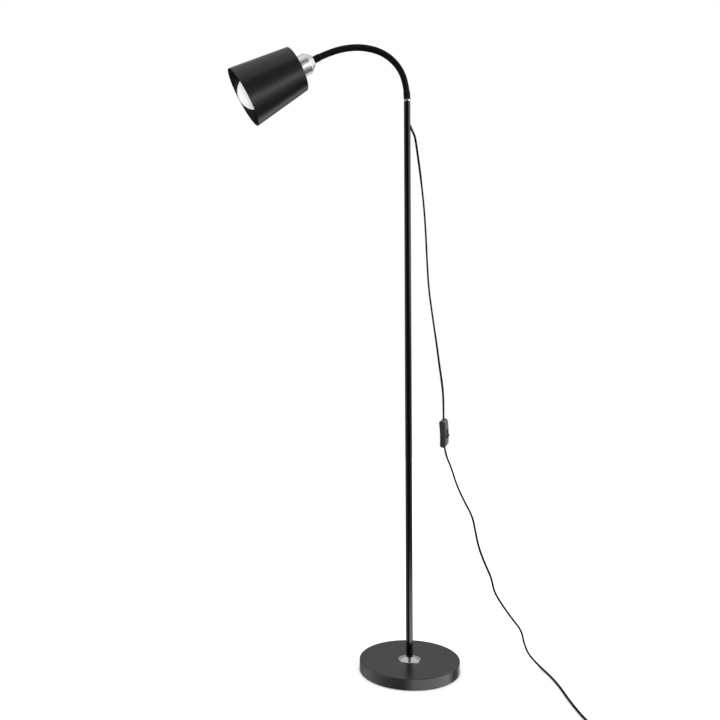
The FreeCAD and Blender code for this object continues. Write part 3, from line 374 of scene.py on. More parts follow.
def object_vector(tree, rotation=(0, 0, 0), location=(0, 0, 0)):
    """Object coordinates, turned or centred by a Mapping node."""
    place = tree.nodes.new("ShaderNodeTexCoord")
    mapping = tree.nodes.new("ShaderNodeMapping")
    mapping.vector_type = "TEXTURE"
    set_inputs(mapping, {"Location": location, "Rotation": rotation})
    tree.links.new(place.outputs["Object"], mapping.inputs["Vector"])
    return mapping.outputs["Vector"]


def bump(tree, shader, height, distance):
    node = tree.nodes.new("ShaderNodeBump")
    node.inputs["Distance"].default_value = distance
    tree.links.new(height, node.inputs["Height"])
    tree.links.new(node.outputs["Normal"], shader.inputs["Normal"])


def place_group(tree, shader, inside, vector, values, depth):
    """Places a surface group with its values and lets it drive roughness and bump."""
    group = tree.nodes.new("ShaderNodeGroup")
    group.node_tree = inside
    tree.links.new(vector, group.inputs["Vector"])
    set_inputs(group, values)
    tree.links.new(group.outputs["Roughness"], shader.inputs["Roughness"])
    bump(tree, shader, group.outputs["Height"], depth)
    return group


def add_coat(tree, shader, tone, patch, roughness, spread, peel_scale, peel_depth):
    """The sprayed coat, which drives the colour too."""
    group = place_group(tree, shader, COAT, object_vector(tree), {
        "Peel Scale": peel_scale, "Roughness": roughness, "Roughness Spread": spread,
        "Tone": (*tone, 1), "Tone Patch": (*patch, 1),
    }, peel_depth)
    tree.links.new(group.outputs["Color"], shader.inputs["Base Color"])


def coated(name, tone, patch, roughness, spread, peel_scale, peel_depth, **more):
    """A sprayed or moulded surface with orange peel."""
    material, tree, shader = new_material(name, tone, roughness=roughness, **more)
    add_coat(tree, shader, tone, patch, roughness, spread, peel_scale, peel_depth)
    return material


def metal(name, color, roughness, spread, line_scale, depth, rotation=(0, 0, 0), location=(0, 0, 0)):
    """Turned metal whose lines run round its own axis."""
    material, tree, shader = new_material(name, color, metallic=1.0, roughness=roughness)
    place_group(tree, shader, TURNING, object_vector(tree, rotation, location), {
        "Line Scale": line_scale, "Roughness": roughness, "Roughness Spread": spread,
    }, depth)
    return material


RIDGE_PITCH = 0.0022


def neck_skin():
    """Matt heat-shrunk sleeve: the wound tube under it shows as faint even ridges."""
    material, tree, shader = new_material("neck_skin", (0.0012, 0.0012, 0.0013), roughness=0.62,
                                          specular=0.18)
    coords = tree.nodes.new("ShaderNodeUVMap")
    coords.uv_map = "along"
    split = tree.nodes.new("ShaderNodeSeparateXYZ")
    tree.links.new(coords.outputs["UV"], split.inputs[0])
    turns = math_node(tree, "MULTIPLY", split.outputs[0], 2 * math.pi / RIDGE_PITCH)
    ridge = math_node(tree, "ABSOLUTE", math_node(tree, "SINE", turns))
    grain = noise(tree, object_vector(tree), 1400.0, 2.0)
    fine = math_node(tree, "MULTIPLY", grain, 0.4)
    height = math_node(tree, "MULTIPLY_ADD", ridge, 0.6, fine)
    bump(tree, shader, height, 0.00005)
    rough = math_node(tree, "MULTIPLY_ADD", grain, 0.16, 0.54)
    tree.links.new(rough, shader.inputs["Roughness"])
    return material


def opal():
    """Opal white bulb: a milky body under a thin gloss, a little warmer in its depth."""
    material, tree, shader = new_material("opal_white", (0.88, 0.87, 0.84), roughness=0.22)
    set_inputs(shader, {
        "Subsurface Weight": 0.25, "Subsurface Radius": (0.02, 0.018, 0.015), "Subsurface Scale": 0.3,
    })
    add_coat(tree, shader, (0.72, 0.719, 0.71), (0.69, 0.689, 0.68), 0.22, 0.05, 260.0, 0.00002)
    return material


def make_materials():
    """Every finish by name. Those on the head have their lines round the head's own axis."""
    head_turn = (0.0, -math.radians(90.0 - HEAD_HEADING), 0.0)
    head_at = tuple(HEAD_ORIGIN * MM)
    return {
        "gloss_black": coated(
            "gloss_black_coat", (0.0008, 0.0008, 0.0009), (0.0011, 0.0011, 0.0012), 0.12, 0.05, 700.0,
            0.00002),
        "base_black": coated(
            "base_black_coat", (0.0145, 0.0145, 0.015), (0.0165, 0.0165, 0.017), 0.27, 0.06, 900.0,
            0.00004, specular=0.55),
        "satin_black": coated(
            "satin_black_coat", (0.005, 0.005, 0.0055), (0.0065, 0.0065, 0.007), 0.30, 0.05, 1000.0,
            0.00003, specular=0.40),
        "shade_inside": coated(
            "shade_inside_coat", (0.005, 0.005, 0.005), (0.007, 0.007, 0.007), 0.30, 0.06, 1000.0,
            0.00003),
        "neck_skin": neck_skin(),
        "chrome": metal("polished_chrome", (0.78, 0.78, 0.79), 0.06, 0.04, 1500.0, 0.000004),
        "chrome_ring": metal("polished_chrome_ring", (0.76, 0.76, 0.77), 0.25, 0.06, 1500.0, 0.000004),
        "chrome_head": metal(
            "polished_chrome_cup", (0.84, 0.84, 0.85), 0.37, 0.06, 1500.0, 0.000006, head_turn, head_at),
        "cast_iron": coated(
            "rough_cast_iron", (0.10, 0.10, 0.105), (0.14, 0.135, 0.13), 0.7, 0.2, 350.0, 0.0004,
            metallic=0.6),
        "foam_pad": coated(
            "soft_foam_pad", (0.02, 0.02, 0.02), (0.03, 0.03, 0.03), 0.9, 0.1, 1500.0, 0.0003),
        "steel": metal("plated_steel", (0.55, 0.55, 0.56), 0.3, 0.15, 2200.0, 0.00001),
        "brass": metal("bare_brass", (0.72, 0.54, 0.25), 0.28, 0.12, 2200.0, 0.00001),
        "lead_insulation": coated(
            "lead_insulation", (0.35, 0.35, 0.35), (0.3, 0.3, 0.3), 0.5, 0.1, 900.0, 0.00003),
        "holder_plastic": coated(
            "moulded_black_plastic", (0.012, 0.012, 0.012), (0.018, 0.018, 0.018), 0.45, 0.15, 1300.0,
            0.00005),
        "opal_glass": opal(),
        "white_plastic": coated(
            "moulded_white_plastic", (0.80, 0.80, 0.78), (0.76, 0.76, 0.74), 0.38, 0.1, 900.0, 0.00003),
        "cap_metal": metal(
            "rolled_cap_metal", (0.74, 0.73, 0.70), 0.25, 0.12, 2000.0, 0.00001, head_turn, head_at),
        "switch_plastic": coated(
            "switch_black_plastic", (0.010, 0.010, 0.011), (0.013, 0.013, 0.014), 0.42, 0.1, 1500.0,
            0.00002, specular=0.8, sheen=0.35, sheen_roughness=0.4),
        # The rocker is the shell's plastic set darker and without its sheen, to stand for the shade on the
        # rocker's side face: painted shade.
        "rocker_painted_shade": coated(
            "rocker_plastic_painted_shade", (0.004, 0.004, 0.0045), (0.006, 0.006, 0.0065), 0.40, 0.1, 1500.0,
            0.00002, specular=0.3),
        "cord_black": coated(
            "cord_black_vinyl", (0.001, 0.001, 0.001), (0.002, 0.002, 0.002), 0.55, 0.12, 1600.0, 0.00003,
            specular=0.12),
        "plug_black": coated(
            "plug_black_plastic", (0.014, 0.014, 0.014), (0.02, 0.02, 0.02), 0.42, 0.15, 1500.0, 0.00005),
    }


# Gooseneck geometry: six arcs, each with its own turn

def forward(heading):
    """Direction of travel along the neck: 90 is straight up, 0 towards the head."""
    angle = np.radians(heading)
    return np.stack([-np.cos(angle), np.zeros_like(angle), np.sin(angle)], axis=-1)


def outward(heading):
    angle = np.radians(heading)
    return np.stack([np.sin(angle), np.zeros_like(angle), np.cos(angle)], axis=-1)


def neck_stations():
    """Start point and heading of each arc, and the end of the last."""
    here = np.array([0.0, 0.0, POLE_TOP + RING_HEIGHT])
    heading = 90.0
    stations = [(here, heading)]
    for turn in NECK_TURNS:
        radius = NECK_PITCH / math.radians(turn)
        centre = here - outward(heading) * radius
        heading -= turn
        here = centre + outward(heading) * radius
        stations.append((here, heading))
    return stations


STATIONS = neck_stations()
HEAD_ORIGIN, HEAD_HEADING = STATIONS[-1]
HEAD_AXIS = forward(HEAD_HEADING)


def neck_line(distance):
    """Centre line and heading at distances along the neck: on each arc the heading falls
    evenly and the point stands one radius out from the arc's centre."""
    distance = np.asarray(distance, float)
    number = np.clip((distance // NECK_PITCH).astype(int), 0, len(NECK_TURNS) - 1)
    starts = np.array([station[0] for station in STATIONS[:-1]])[number]
    headings = np.array([station[1] for station in STATIONS[:-1]])[number]
    turns = np.array(NECK_TURNS)[number]
    radius = NECK_PITCH / np.radians(turns)
    heading = headings - turns * (distance - number * NECK_PITCH) / NECK_PITCH
    centre = starts - outward(headings) * radius[:, None]
    return centre + outward(heading) * radius[:, None], heading


def neck_radius(distance):
    """The sleeve's radius, a little more over the cuffs at its two ends, with a smooth step in
    three millimetres and a small rounding at each end."""
    whole = NECK_PITCH * len(NECK_TURNS)
    inwards = np.clip((FOOT_CUFF + 1.5 - distance) / 3.0, 0, 1)
    outwards = np.clip((distance - whole + HEAD_CUFF + 1.5) / 3.0, 0, 1)
    share = np.maximum(inwards, outwards)
    radius = NECK_RADIUS + (CUFF_RADIUS - NECK_RADIUS) * smooth(share)
    to_end = np.minimum(distance, whole - distance)
    return radius - 0.5 * np.clip(1 - to_end / 0.8, 0, 1) ** 2


def neck_stretch(name, start, end, body, ball=False):
    """A stretch of the sleeve from start to end. A point is the centre line plus the radius times
    the cosine outwards and the sine sideways. A ball goes on past the end by the ball's radius
    times the sine of an angle, and its rings shrink by the cosine."""
    onward = math.copysign(1.0, end - start)
    distance = np.linspace(start, end, 46 if ball else 90)
    on_arc = np.minimum(distance, end - 1e-6) if ball and onward > 0 else distance
    centre, heading = neck_line(on_arc)
    radius = neck_radius(distance)
    if ball:
        angle = np.linspace(0, math.pi / 2, 15)[1:-1]
        ball_radius = radius[-1] - BALL_SHY
        reach = ball_radius * np.sin(angle)
        centre = np.vstack([centre, centre[-1] + onward * forward(heading[-1]) * reach[:, None]])
        heading = np.append(heading, np.full(len(angle), heading[-1]))
        radius = np.append(radius, ball_radius * np.cos(angle))
        distance = np.append(distance, end + onward * reach)
    around = circle(72)
    side = outward(heading)[:, None, :] * np.cos(around)[None, :, None]
    side = side + ACROSS * np.sin(around)[None, :, None]
    points = centre[:, None, :] + side * radius[:, None, None]
    uv = sheet_uv(distance * MM, around * NECK_RADIUS * MM)
    return tube(name, points, body, "neck_skin", flip=onward < 0, uv=uv)


def neck_sleeves():
    """The sleeve in stretches that run from the middle of one arc to the middle of the next, across
    the joint between them. The first and the last are stiff, and so are the two at the joint nearest
    the head, which meet in a ball; the stretches between ride on no body."""
    middle = [NECK_PITCH * (number + 0.5) for number in range(6)]
    last_joint = NECK_PITCH * 5
    first = neck_stretch("neck_sleeve_run_1", 0.2, middle[0], "neck_1")
    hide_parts("neck_sleeve_1")
    for number in range(1, 5):
        run = neck_stretch("neck_sleeve_run_%d" % (number + 1), middle[number - 1], middle[number], None)
        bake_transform(run)
        if number > 1:
            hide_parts("neck_sleeve_%d" % number)
    lower = neck_stretch("neck_sleeve_run_6", middle[4], last_joint, "neck_5", ball=True)
    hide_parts("neck_sleeve_5")
    neck_stretch("neck_sleeve_run_6_head", middle[5], last_joint, "head", ball=True)
    last = neck_stretch("neck_sleeve_run_7", middle[5], NECK_PITCH * 6 - 0.05, "head")
    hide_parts("neck_sleeve_6")


# Stand

def base():
    """Spun cover with a shallow dish, the collar that stands in the dish, and the soft pad."""
    wall, bore = 1.2, TUBE_RADIUS + 0.15
    cover = rounded([
        (bore, DISH_TOP, 0.2), (DISH_RADIUS, DISH_TOP, 6.0), (BASE_RADIUS, BASE_HEIGHT, 1.6),
        (BASE_RADIUS, COVER_FOOT, 0.4), (BASE_RADIUS - wall, COVER_FOOT, 0.4),
        (BASE_RADIUS - wall, BASE_HEIGHT - wall, 0.6), (DISH_RADIUS, DISH_TOP - wall, 6.0),
        (bore, DISH_TOP - wall, 0.2),
    ])[::-1]
    thing = turned("base_cover_spun", cover, "stand", "gloss_black", "base_black", segments=288)
    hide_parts("base_cover")
    rim, edge = COLLAR_RADIUS, DISH_TOP + 1.6
    collar = rounded([
        (bore, DISH_TOP, 0.1), (rim, DISH_TOP, 0.1), (rim, edge, 0.4), (rim - 1.0, edge + 0.5, 0.5),
        (COLLAR_NECK, COLLAR_TOP, 0.6), (bore, COLLAR_TOP, 0.3),
    ])
    thing = turned("base_collar_polished", collar, "stand", "chrome")
    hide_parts("base_collar")
    pad = rounded([
        (0.0, 0.0, 0.0), (PAD_RADIUS, 0.0, 0.6), (PAD_RADIUS, PAD_HEIGHT, 0.3), (0.0, PAD_HEIGHT, 0.0),
    ])
    thing = turned("base_pad_foam", pad, "stand", "foam_pad", closed=False, segments=200)
    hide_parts("base_pad")


def pole():
    """Four tubes whose rounded ends show as fine joints, and the ring on top."""
    bore = TUBE_RADIUS - 1.0
    for number in range(4):
        low = TUBE_FOOT + TUBE_LENGTH * number
        high = low + TUBE_LENGTH
        wall = rounded([
            (bore, low, 0.0), (TUBE_RADIUS, low, 0.45), (TUBE_RADIUS, high, 0.45), (bore, high, 0.0),
        ])
        thing = turned("pole_tube_%d_coated" % (number + 1), wall, "stand", "gloss_black", segments=96)
        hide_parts("pole_tube_%d" % (number + 1))
    top = POLE_TOP + RING_HEIGHT
    ring = rounded([
        (RING_BORE, POLE_TOP, 0.1), (RING_RADIUS, POLE_TOP, 0.6), (RING_RADIUS, top, 0.6),
        (RING_BORE, top, 0.1),
    ])
    thing = turned("neck_ring_polished", ring, "stand", "chrome", "chrome_ring", segments=96)
    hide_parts("neck_ring")


# Head

def on_head(name, profile, slot, **more):
    return turned(name, profile, "head", slot, origin=HEAD_ORIGIN, axis=HEAD_AXIS, **more)


CUP_RADIUS, CUP_SHOULDER, CUP_RIM = 24.7, 14.5, 43.5
SHADE_BACK, SHADE_MOUTH, SHADE_LENGTH, SHADE_WALL = 53.0, 70.6, 149.8, 1.0
HOLDER_HOLE, GRIP_RADIUS = 20.2, 23.5


def head():
    """Cup, shade, bulb and ribbed ring as profiles of (radius, distance along the head's axis)."""
    inner = CUP_RADIUS - 1.0
    cup = rounded([
        (5.2, 0.0, 0.2), (13.0, 0.0, 0.8), (CUP_RADIUS, CUP_SHOULDER, 3.0), (CUP_RADIUS, CUP_RIM, 0.4),
        (inner, CUP_RIM, 0.2), (inner, CUP_SHOULDER + 0.7, 2.0), (12.6, 2.0, 0.6), (5.2, 2.0, 0.2),
    ])
    thing = on_head("holder_cup_polished", cup, "chrome", finish="chrome_head", segments=144)
    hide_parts("holder_cup")
    mouth, floor = CUP_RIM + SHADE_LENGTH, CUP_RIM + SHADE_WALL
    shade = rounded([
        (HOLDER_HOLE, CUP_RIM, 0.3), (SHADE_BACK, CUP_RIM, 2.5), (SHADE_MOUTH, mouth, 0.45),
        (SHADE_MOUTH - SHADE_WALL, mouth, 0.45), (SHADE_BACK - SHADE_WALL, floor, 1.6),
        (HOLDER_HOLE, floor, 0.3),
    ])
    thing = on_head("lamp_shade_spun", shade, "satin_black", segments=288)
    thing.data.materials.append(MATERIALS["shade_inside"])
    paint_inside(thing)
    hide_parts("lamp_shade")
    globe = on_head("bulb_globe_opal", globe_profile(), "opal_glass", closed=False, segments=128)
    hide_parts("bulb_globe")
    grip = rounded([
        (HOLDER_HOLE, 44.5, 0.2), (26.0, 44.5, 0.5), (26.0, 46.5, 0.5), (GRIP_RADIUS, 46.8, 0.3),
        (GRIP_RADIUS, 51.5, 0.6), (HOLDER_HOLE, 51.5, 0.3),
    ])
    ring = on_head("shade_ring_ribbed", grip, "holder_plastic", segments=288, ripple=grip_ribs)
    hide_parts("shade_ring")


def grip_ribs(angle, along, radius):
    """Thirty-six hollows round the grip, none on the flange."""
    on_grip = (radius > GRIP_RADIUS - 1.0) * (radius < GRIP_RADIUS + 1.0) * (along > 46.7)
    return -0.35 * (np.cos(36 * angle) > 0) * on_grip


def paint_inside(thing):
    """Gives the shade's second finish to every face nearer the axis than the middle of the wall."""
    faces = thing.data.polygons
    centre = np.empty(len(faces) * 3)
    faces.foreach_get("center", centre)
    away = centre.reshape(-1, 3) / MM - HEAD_ORIGIN
    along = away @ HEAD_AXIS
    radius = np.linalg.norm(away - along[:, None] * HEAD_AXIS, axis=1)
    spread = (SHADE_MOUTH - SHADE_BACK) * (along - CUP_RIM) / SHADE_LENGTH
    middle = SHADE_BACK - SHADE_WALL / 2 + spread
    inner = (radius < middle) & (along > CUP_RIM + 0.7) & (along < CUP_RIM + SHADE_LENGTH - 0.4)
    faces.foreach_set("material_index", inner.astype(np.int32))


def globe_profile():
    """A round front whose sides run in a tangent line to the waist, closed by a flat at the
    waist: the tangent point is where the radius stands square to the line from the waist."""
    radius, centre, waist, foot = 40.0, 163.5, 118.5, 21.0
    drop = centre - waist
    angle = math.pi - (math.atan2(foot, drop) + math.acos(radius / math.hypot(drop, foot)))
    arc = np.linspace(0, angle, 40)
    front = np.stack([radius * np.sin(arc), centre + radius * np.cos(arc)], axis=1)
    share = np.linspace(0, 1, 14)[1:, None]
    side = front[-1] * (1 - share) + np.array([foot, waist]) * share
    flat = np.array([[foot - 0.6, waist], [0.0, waist]])
    return np.vstack([front, side, flat])[::-1]


# Cords

UPPER_ROUTE = [
    (21.9, -0.3, 1241.5), (25.4, -0.6, 1215.0), (30.0, -0.7, 1180.0), (34.8, -0.3, 1140.0),
    (40.8, 0.9, 1084.0), (45.0, 2.1, 1022.0), (48.0, 3.9, 953.0), (51.6, 4.8, 887.9), (59.4, 2.6, 823.4),
    (67.7, -3.2, 755.9), (73.7, -10.4, 693.9), (79.4, -14.6, 647.3), (82.2, -11.2, 609.9),
]

LOWER_ROUTE = [
    (94.7, 23.6, 484.6), (108.8, 27.6, 456.2), (122.9, 30.0, 411.4), (141.1, 29.0, 373.1),
    (159.9, 26.2, 337.7), (165.4, 22.6, 303.1), (171.7, 18.6, 267.0), (185.6, 15.2, 228.1),
    (200.4, 13.1, 196.0), (206.8, 14.2, 162.6), (227.6, 14.1, 129.6), (249.4, 13.6, 99.6),
    (271.6, 11.4, 72.0), (275.6, 9.0, 45.0), (282.4, -0.8, 22.5), (295.5, -14.5, 7.3),
    (300.9, -42.3, 2.9), (303.8, -85.3, 2.8), (301.4, -135.4, 2.8), (295.2, -188.5, 2.8),
    (291.3, -238.6, 3.1), (290.3, -283.7, 3.8),
]

COIL_START = np.array([291.0, -334.0, 3.8])
COIL_RADIUS, COIL_STEP, COIL_TURNS, COIL_LIFT = 31.0, 6.2, 3.0, 3.8


def coil_points():
    """The put-away length: the radius shrinks evenly to the middle and grows again, and the
    height changes layer in the half turn at the middle."""
    arriving = unit(COIL_START - np.array(LOWER_ROUTE[-1]))
    side = np.array([-arriving[1], arriving[0], 0.0])
    first = COIL_START + arriving * CORD_WIDTH
    centre = first + side * COIL_RADIUS
    start_angle = math.atan2(-side[1], -side[0])
    share = np.linspace(0, 1, int(16 * COIL_TURNS) + 1)[1:]
    angle = start_angle + 2 * math.pi * COIL_TURNS * share
    radius = COIL_RADIUS - COIL_STEP * COIL_TURNS * (0.5 - np.abs(share - 0.5))
    climb = 0.5 / COIL_TURNS
    part = np.clip((share - 0.5 + climb / 2) / climb, 0, 1)
    height = COIL_LIFT + COIL_STEP * smooth(part)
    turns = np.stack([centre[0] + radius * np.cos(angle), centre[1] + radius * np.sin(angle), height], axis=1)
    leaving = np.array([-math.sin(angle[-1]), math.cos(angle[-1]), 0.0])
    tail = turns[-1] + leaving * CORD_WIDTH
    return np.vstack([first, turns, tail]), tail, leaving


def spline_points(name, route):
    """Points along the smooth line that has the route's points as its control points."""
    curve = bpy.data.curves.new(name, "CURVE")
    curve.dimensions = "3D"
    curve.resolution_u = 8
    spline = curve.splines.new("NURBS")
    spline.points.add(len(route) - 1)
    flat = np.hstack([np.asarray(route, float) * MM, np.ones((len(route), 1))])
    spline.points.foreach_set("co", flat.ravel())
    spline.order_u = 3
    spline.use_endpoint_u = True
    holder = bpy.data.objects.new(name, curve)
    line = bpy.data.meshes.new_from_object(holder)
    points = np.empty(len(line.vertices) * 3)
    line.vertices.foreach_get("co", points)
    bpy.data.objects.remove(holder)
    bpy.data.meshes.remove(line)
    return points.reshape(-1, 3) / MM


def flat_cord(name, path, stations, bearings, floor=None):
    """Two round cores side by side, carried along the path. The outline is a stadium whose waist
    is drawn in; its wide side turns as wide_side says."""
    step = np.linalg.norm(np.diff(path, axis=0), axis=1)
    along = np.concatenate([[0], np.cumsum(step)])
    tangent = unit(np.gradient(path, along, axis=0))
    wide = wide_side(along, tangent, stations, bearings, floor)
    wide = unit(wide - tangent * np.sum(wide * tangent, axis=1, keepdims=True))
    thin = np.cross(tangent, wide)
    around = circle(20)
    half_wide = (CORD_WIDTH - CORD_THICKNESS) / 2
    across = np.cos(around) * CORD_THICKNESS / 2 + np.sign(np.round(np.cos(around), 6)) * half_wide
    pinch = 1 - 0.16 * np.exp(-(across / 0.7) ** 2)
    up = np.sin(around) * CORD_THICKNESS / 2 * pinch
    points = path[:, None, :] + wide[:, None, :] * across[:, None] + thin[:, None, :] * up[:, None]
    return tube(name, points, "stand", "cord_black", sharp=60.0, uv=sheet_uv(along * MM, around / 400))


def wide_side(along, tangent, stations, bearings, floor):
    """A level direction whose bearing follows the listed degrees at the listed distances. Between
    the two floor distances it turns square to the run, as a cord that lies on the floor."""
    angle = np.radians(np.interp(along, stations, bearings))
    hanging = np.stack([np.cos(angle), np.sin(angle), np.zeros_like(angle)], axis=1)
    if floor is None:
        return hanging
    square = np.stack([-tangent[:, 1], tangent[:, 0], np.zeros(len(tangent))], axis=1)
    square = square / np.maximum(np.linalg.norm(square, axis=1, keepdims=True), 1e-6)
    share = np.clip((along - floor[0]) / (floor[1] - floor[0]), 0, 1)[:, None]
    return hanging * (1 - share) + square * share


def boot_axis():
    tilt = math.radians(BOOT_TILT)
    return np.array([math.cos(tilt), 0.0, -math.sin(tilt)])


def cords():
    """Both cords along their smooth lines: the upper from the boot's tip to the switch, the lower
    from the switch over the floor into the coil."""
    axis = boot_axis()
    tip = BOOT_ROOT + axis * BOOT_LENGTH
    upper_path = spline_points("cord_upper_line", [tip, tip + axis * BOOT_LEAD, *UPPER_ROUTE, SWITCH_TOP])
    upper = flat_cord("cord_upper_flat", upper_path, [0, 95, 140, 470, 550, 620, 700],
                      [-8, 0, 50, 52, 30, 18, SWITCH_FACE + 90])
    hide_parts("cord_upper")
    coil, tail, leaving = coil_points()
    lower_path = spline_points("cord_lower_line", [SWITCH_FOOT, *LOWER_ROUTE, COIL_START, *coil])
    lower = flat_cord("cord_lower_flat", lower_path, [0, 40, 100, 182, 232, 285, 335, 387, 445],
                      [SWITCH_FACE + 90, 45, 45, 30, 15, 0, 25, 30, 40], floor=(500, 570))
    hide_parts("cord_lower", "cord_coil")
    return upper, upper_path, lower, lower_path, tail, leaving


def strain_relief():
    """Tapered boot: the radius falls from root to tip with four rounded grooves; towards the tip
    the section flattens to the cord's."""
    axis = boot_axis()
    along = np.linspace(0, BOOT_LENGTH, 85)
    share = along / BOOT_LENGTH
    root_radius, tip_radius = 3.3, 2.95
    radius = root_radius * (1 - share) + tip_radius * share
    groove = np.clip(np.cos((along - 4.0) / 3.1 * 2 * math.pi), 0, 1) ** 2
    radius = radius - 0.40 * groove * (share > 0.28) * (share < 0.92)
    radius[-2:] -= [0.1, 0.4]
    side = unit(np.cross(ACROSS, axis))
    around = circle(48)
    wide = 1 + 0.05 * share
    thin = 1 - 0.28 * share
    ring = np.cos(around)[None, :, None] * side * wide[:, None, None]
    ring = ring + np.sin(around)[None, :, None] * ACROSS * thin[:, None, None]
    points = BOOT_ROOT + along[:, None, None] * axis + ring * radius[:, None, None]
    boot = tube("cord_boot_ribbed", points, "stand", "cord_black", "plug_black")
    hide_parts("cord_boot")
    return boot


# Hand switch

def switch_axes():
    up = unit(SWITCH_TOP - SWITCH_FOOT)
    face = np.array([math.cos(math.radians(SWITCH_FACE)), math.sin(math.radians(SWITCH_FACE)), 0.0])
    side = unit(np.cross(up, face))
    face = np.cross(side, up)
    return (SWITCH_TOP + SWITCH_FOOT) / 2, face, side, up


def to_switch(points):
    """Points (out of the face, across, up the switch) in the lamp's frame."""
    middle, face, side, up = switch_axes()
    return middle + points[..., :1] * face + points[..., 1:2] * side + points[..., 2:] * up


def edge_lines(reach, power, breaks=()):
    """Grid lines from -reach to reach that crowd towards the rounded ends and hit the breaks."""
    angle = np.linspace(0, math.pi / 2, 17)
    rim = reach * np.cos(angle) ** (2 / power)
    middle = np.linspace(0, rim[-2] if rim[-2] > 0 else reach / 2, 9)
    half = np.unique(np.round(np.concatenate([rim, middle, np.array(breaks, float)]), 4))
    return np.concatenate([-half[::-1], half[1:]])


SWITCH_HALF_WIDTH, SWITCH_HALF_LENGTH, SWITCH_CORNER = 13.0, 32.64, 5.0
FRONT_DEPTH, BACK_DEPTH, SHELL_BOW = 7.0, 8.5, 1.6
WINDOW_HALF_WIDTH, WINDOW_HALF_LENGTH, WINDOW_LIP = 8.5, 10.0, 0.35
ROCKER_HALF_WIDTH, ROCKER_HALF_LENGTH, ROCKER_TILT = 8.0, 9.5, 13.0
ROCKER_PIN, ROCKER_RISE, ROCKER_SLOPE = 4.4, 3.8, 2.6


def closed_shell(name, outer, inner, flip, body, finish=None):
    """A switch piece from its outer and inner sheets of points, given in the switch's directions."""
    rows, columns = outer.shape[:2]
    points = to_switch(np.concatenate([outer.reshape(-1, 3), inner.reshape(-1, 3)]))
    return piece(name, points, shell_faces(rows, columns, flip), body, "switch_plastic", finish, sharp=40.0)


def switch_half(name, front):
    """One half of the shell as a height over its outline: the depth, bowed out at the front and in
    at the back, less a quarter circle of radius corner at both ends, times the rounding across;
    the front sinks round the rocker."""
    half_width, half_length, corner = SWITCH_HALF_WIDTH, SWITCH_HALF_LENGTH, SWITCH_CORNER
    breaks = np.array([0.0, WINDOW_LIP, -0.15])
    y = edge_lines(half_width, 7, WINDOW_HALF_WIDTH + breaks if front else ())
    z = edge_lines(half_length, 4, WINDOW_HALF_LENGTH + breaks if front else ())
    grid_z, grid_y = np.meshgrid(z, y, indexing="ij")
    across = np.clip(1 - np.abs(grid_y / half_width) ** 7, 0, 1) ** (1 / 7)
    ends = corner - np.sqrt(corner ** 2 - np.clip(np.abs(grid_z) - half_length + corner, 0, corner) ** 2)
    bow = SHELL_BOW * (1 - (grid_z / half_length) ** 2)
    height = ((FRONT_DEPTH + bow if front else BACK_DEPTH - bow) - ends) * across
    if front:
        away_y, away_z = np.abs(grid_y) - WINDOW_HALF_WIDTH, np.abs(grid_z) - WINDOW_HALF_LENGTH
        inside = (away_y < -0.01) & (away_z < -0.01)
        lip = (away_y < 0.01) & (away_z < 0.01) & ~inside
        height = np.where(inside, height - 5.0, np.where(lip, height - WINDOW_LIP, height))
    groove = 0.35 * np.exp(-height / 0.3)
    shown_y = grid_y * (1 - groove / half_width)
    shown_z = grid_z * (1 - groove / half_length)
    sign = 1.0 if front else -1.0
    outer = np.stack([sign * np.maximum(height, 0.0), shown_y, shown_z], axis=-1)
    inner = np.stack([np.full_like(height, -0.02 * sign), shown_y, shown_z], axis=-1)
    return closed_shell(name, outer, inner, front, "stand")


def rocker_cap():
    """Rocker as a height over its outline: two slopes meet at the middle, edges are rounded,
    and the whole is turned about its pin so that the lower end stands out."""
    y = edge_lines(ROCKER_HALF_WIDTH, 10)
    z = edge_lines(ROCKER_HALF_LENGTH, 14)
    grid_z, grid_y = np.meshgrid(z, y, indexing="ij")
    share_y, share_z = np.abs(grid_y / ROCKER_HALF_WIDTH), np.abs(grid_z / ROCKER_HALF_LENGTH)
    rounding = np.clip(1 - share_y ** 10, 0, 1) ** (1 / 6) * np.clip(1 - share_z ** 14, 0, 1) ** (1 / 6)
    rise = ROCKER_RISE + ROCKER_SLOPE * share_z ** 1.2
    ribs = 0.22 * (np.cos(grid_z / 0.9 * math.pi) > 0.2) * (np.abs(grid_z) > 4.2) * (np.abs(grid_z) < 7.6)
    ribs = ribs * (np.abs(grid_y) < 5.8)
    low = -0.5
    height = low + (rise + ribs - low) * rounding
    tilt = -math.radians(ROCKER_TILT)
    sheets = []
    for out in (height, np.full_like(height, low - 0.3)):
        turned_x = out * math.cos(tilt) + grid_z * math.sin(tilt) + ROCKER_PIN
        turned_z = -out * math.sin(tilt) + grid_z * math.cos(tilt)
        sheets.append(np.stack([turned_x, grid_y, turned_z], axis=-1))
    # The rocker takes the darker copy of the shell's plastic: painted shade on its side face.
    return closed_shell("switch_rocker_moulded", *sheets, True, "rocker", "rocker_painted_shade")


def hand_switch():
    front = switch_half("switch_front_moulded", True)
    back = switch_half("switch_back_moulded", False)
    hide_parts("switch_front")
    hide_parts("switch_back")
    rocker = rocker_cap()
    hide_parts("switch_rocker")
    return front, back


# Plug and tie

PLUG_LENGTH, PLUG_HALF_HEIGHT, PLUG_HALF_WIDTH, PLUG_REST = 56.0, 6.75, 13.0, 6.8
PIN_RADIUS, PIN_LENGTH, PIN_SPACING, SLEEVE_RADIUS, SLEEVE_LENGTH = 1.95, 18.9, 18.6, 2.1, 9.5


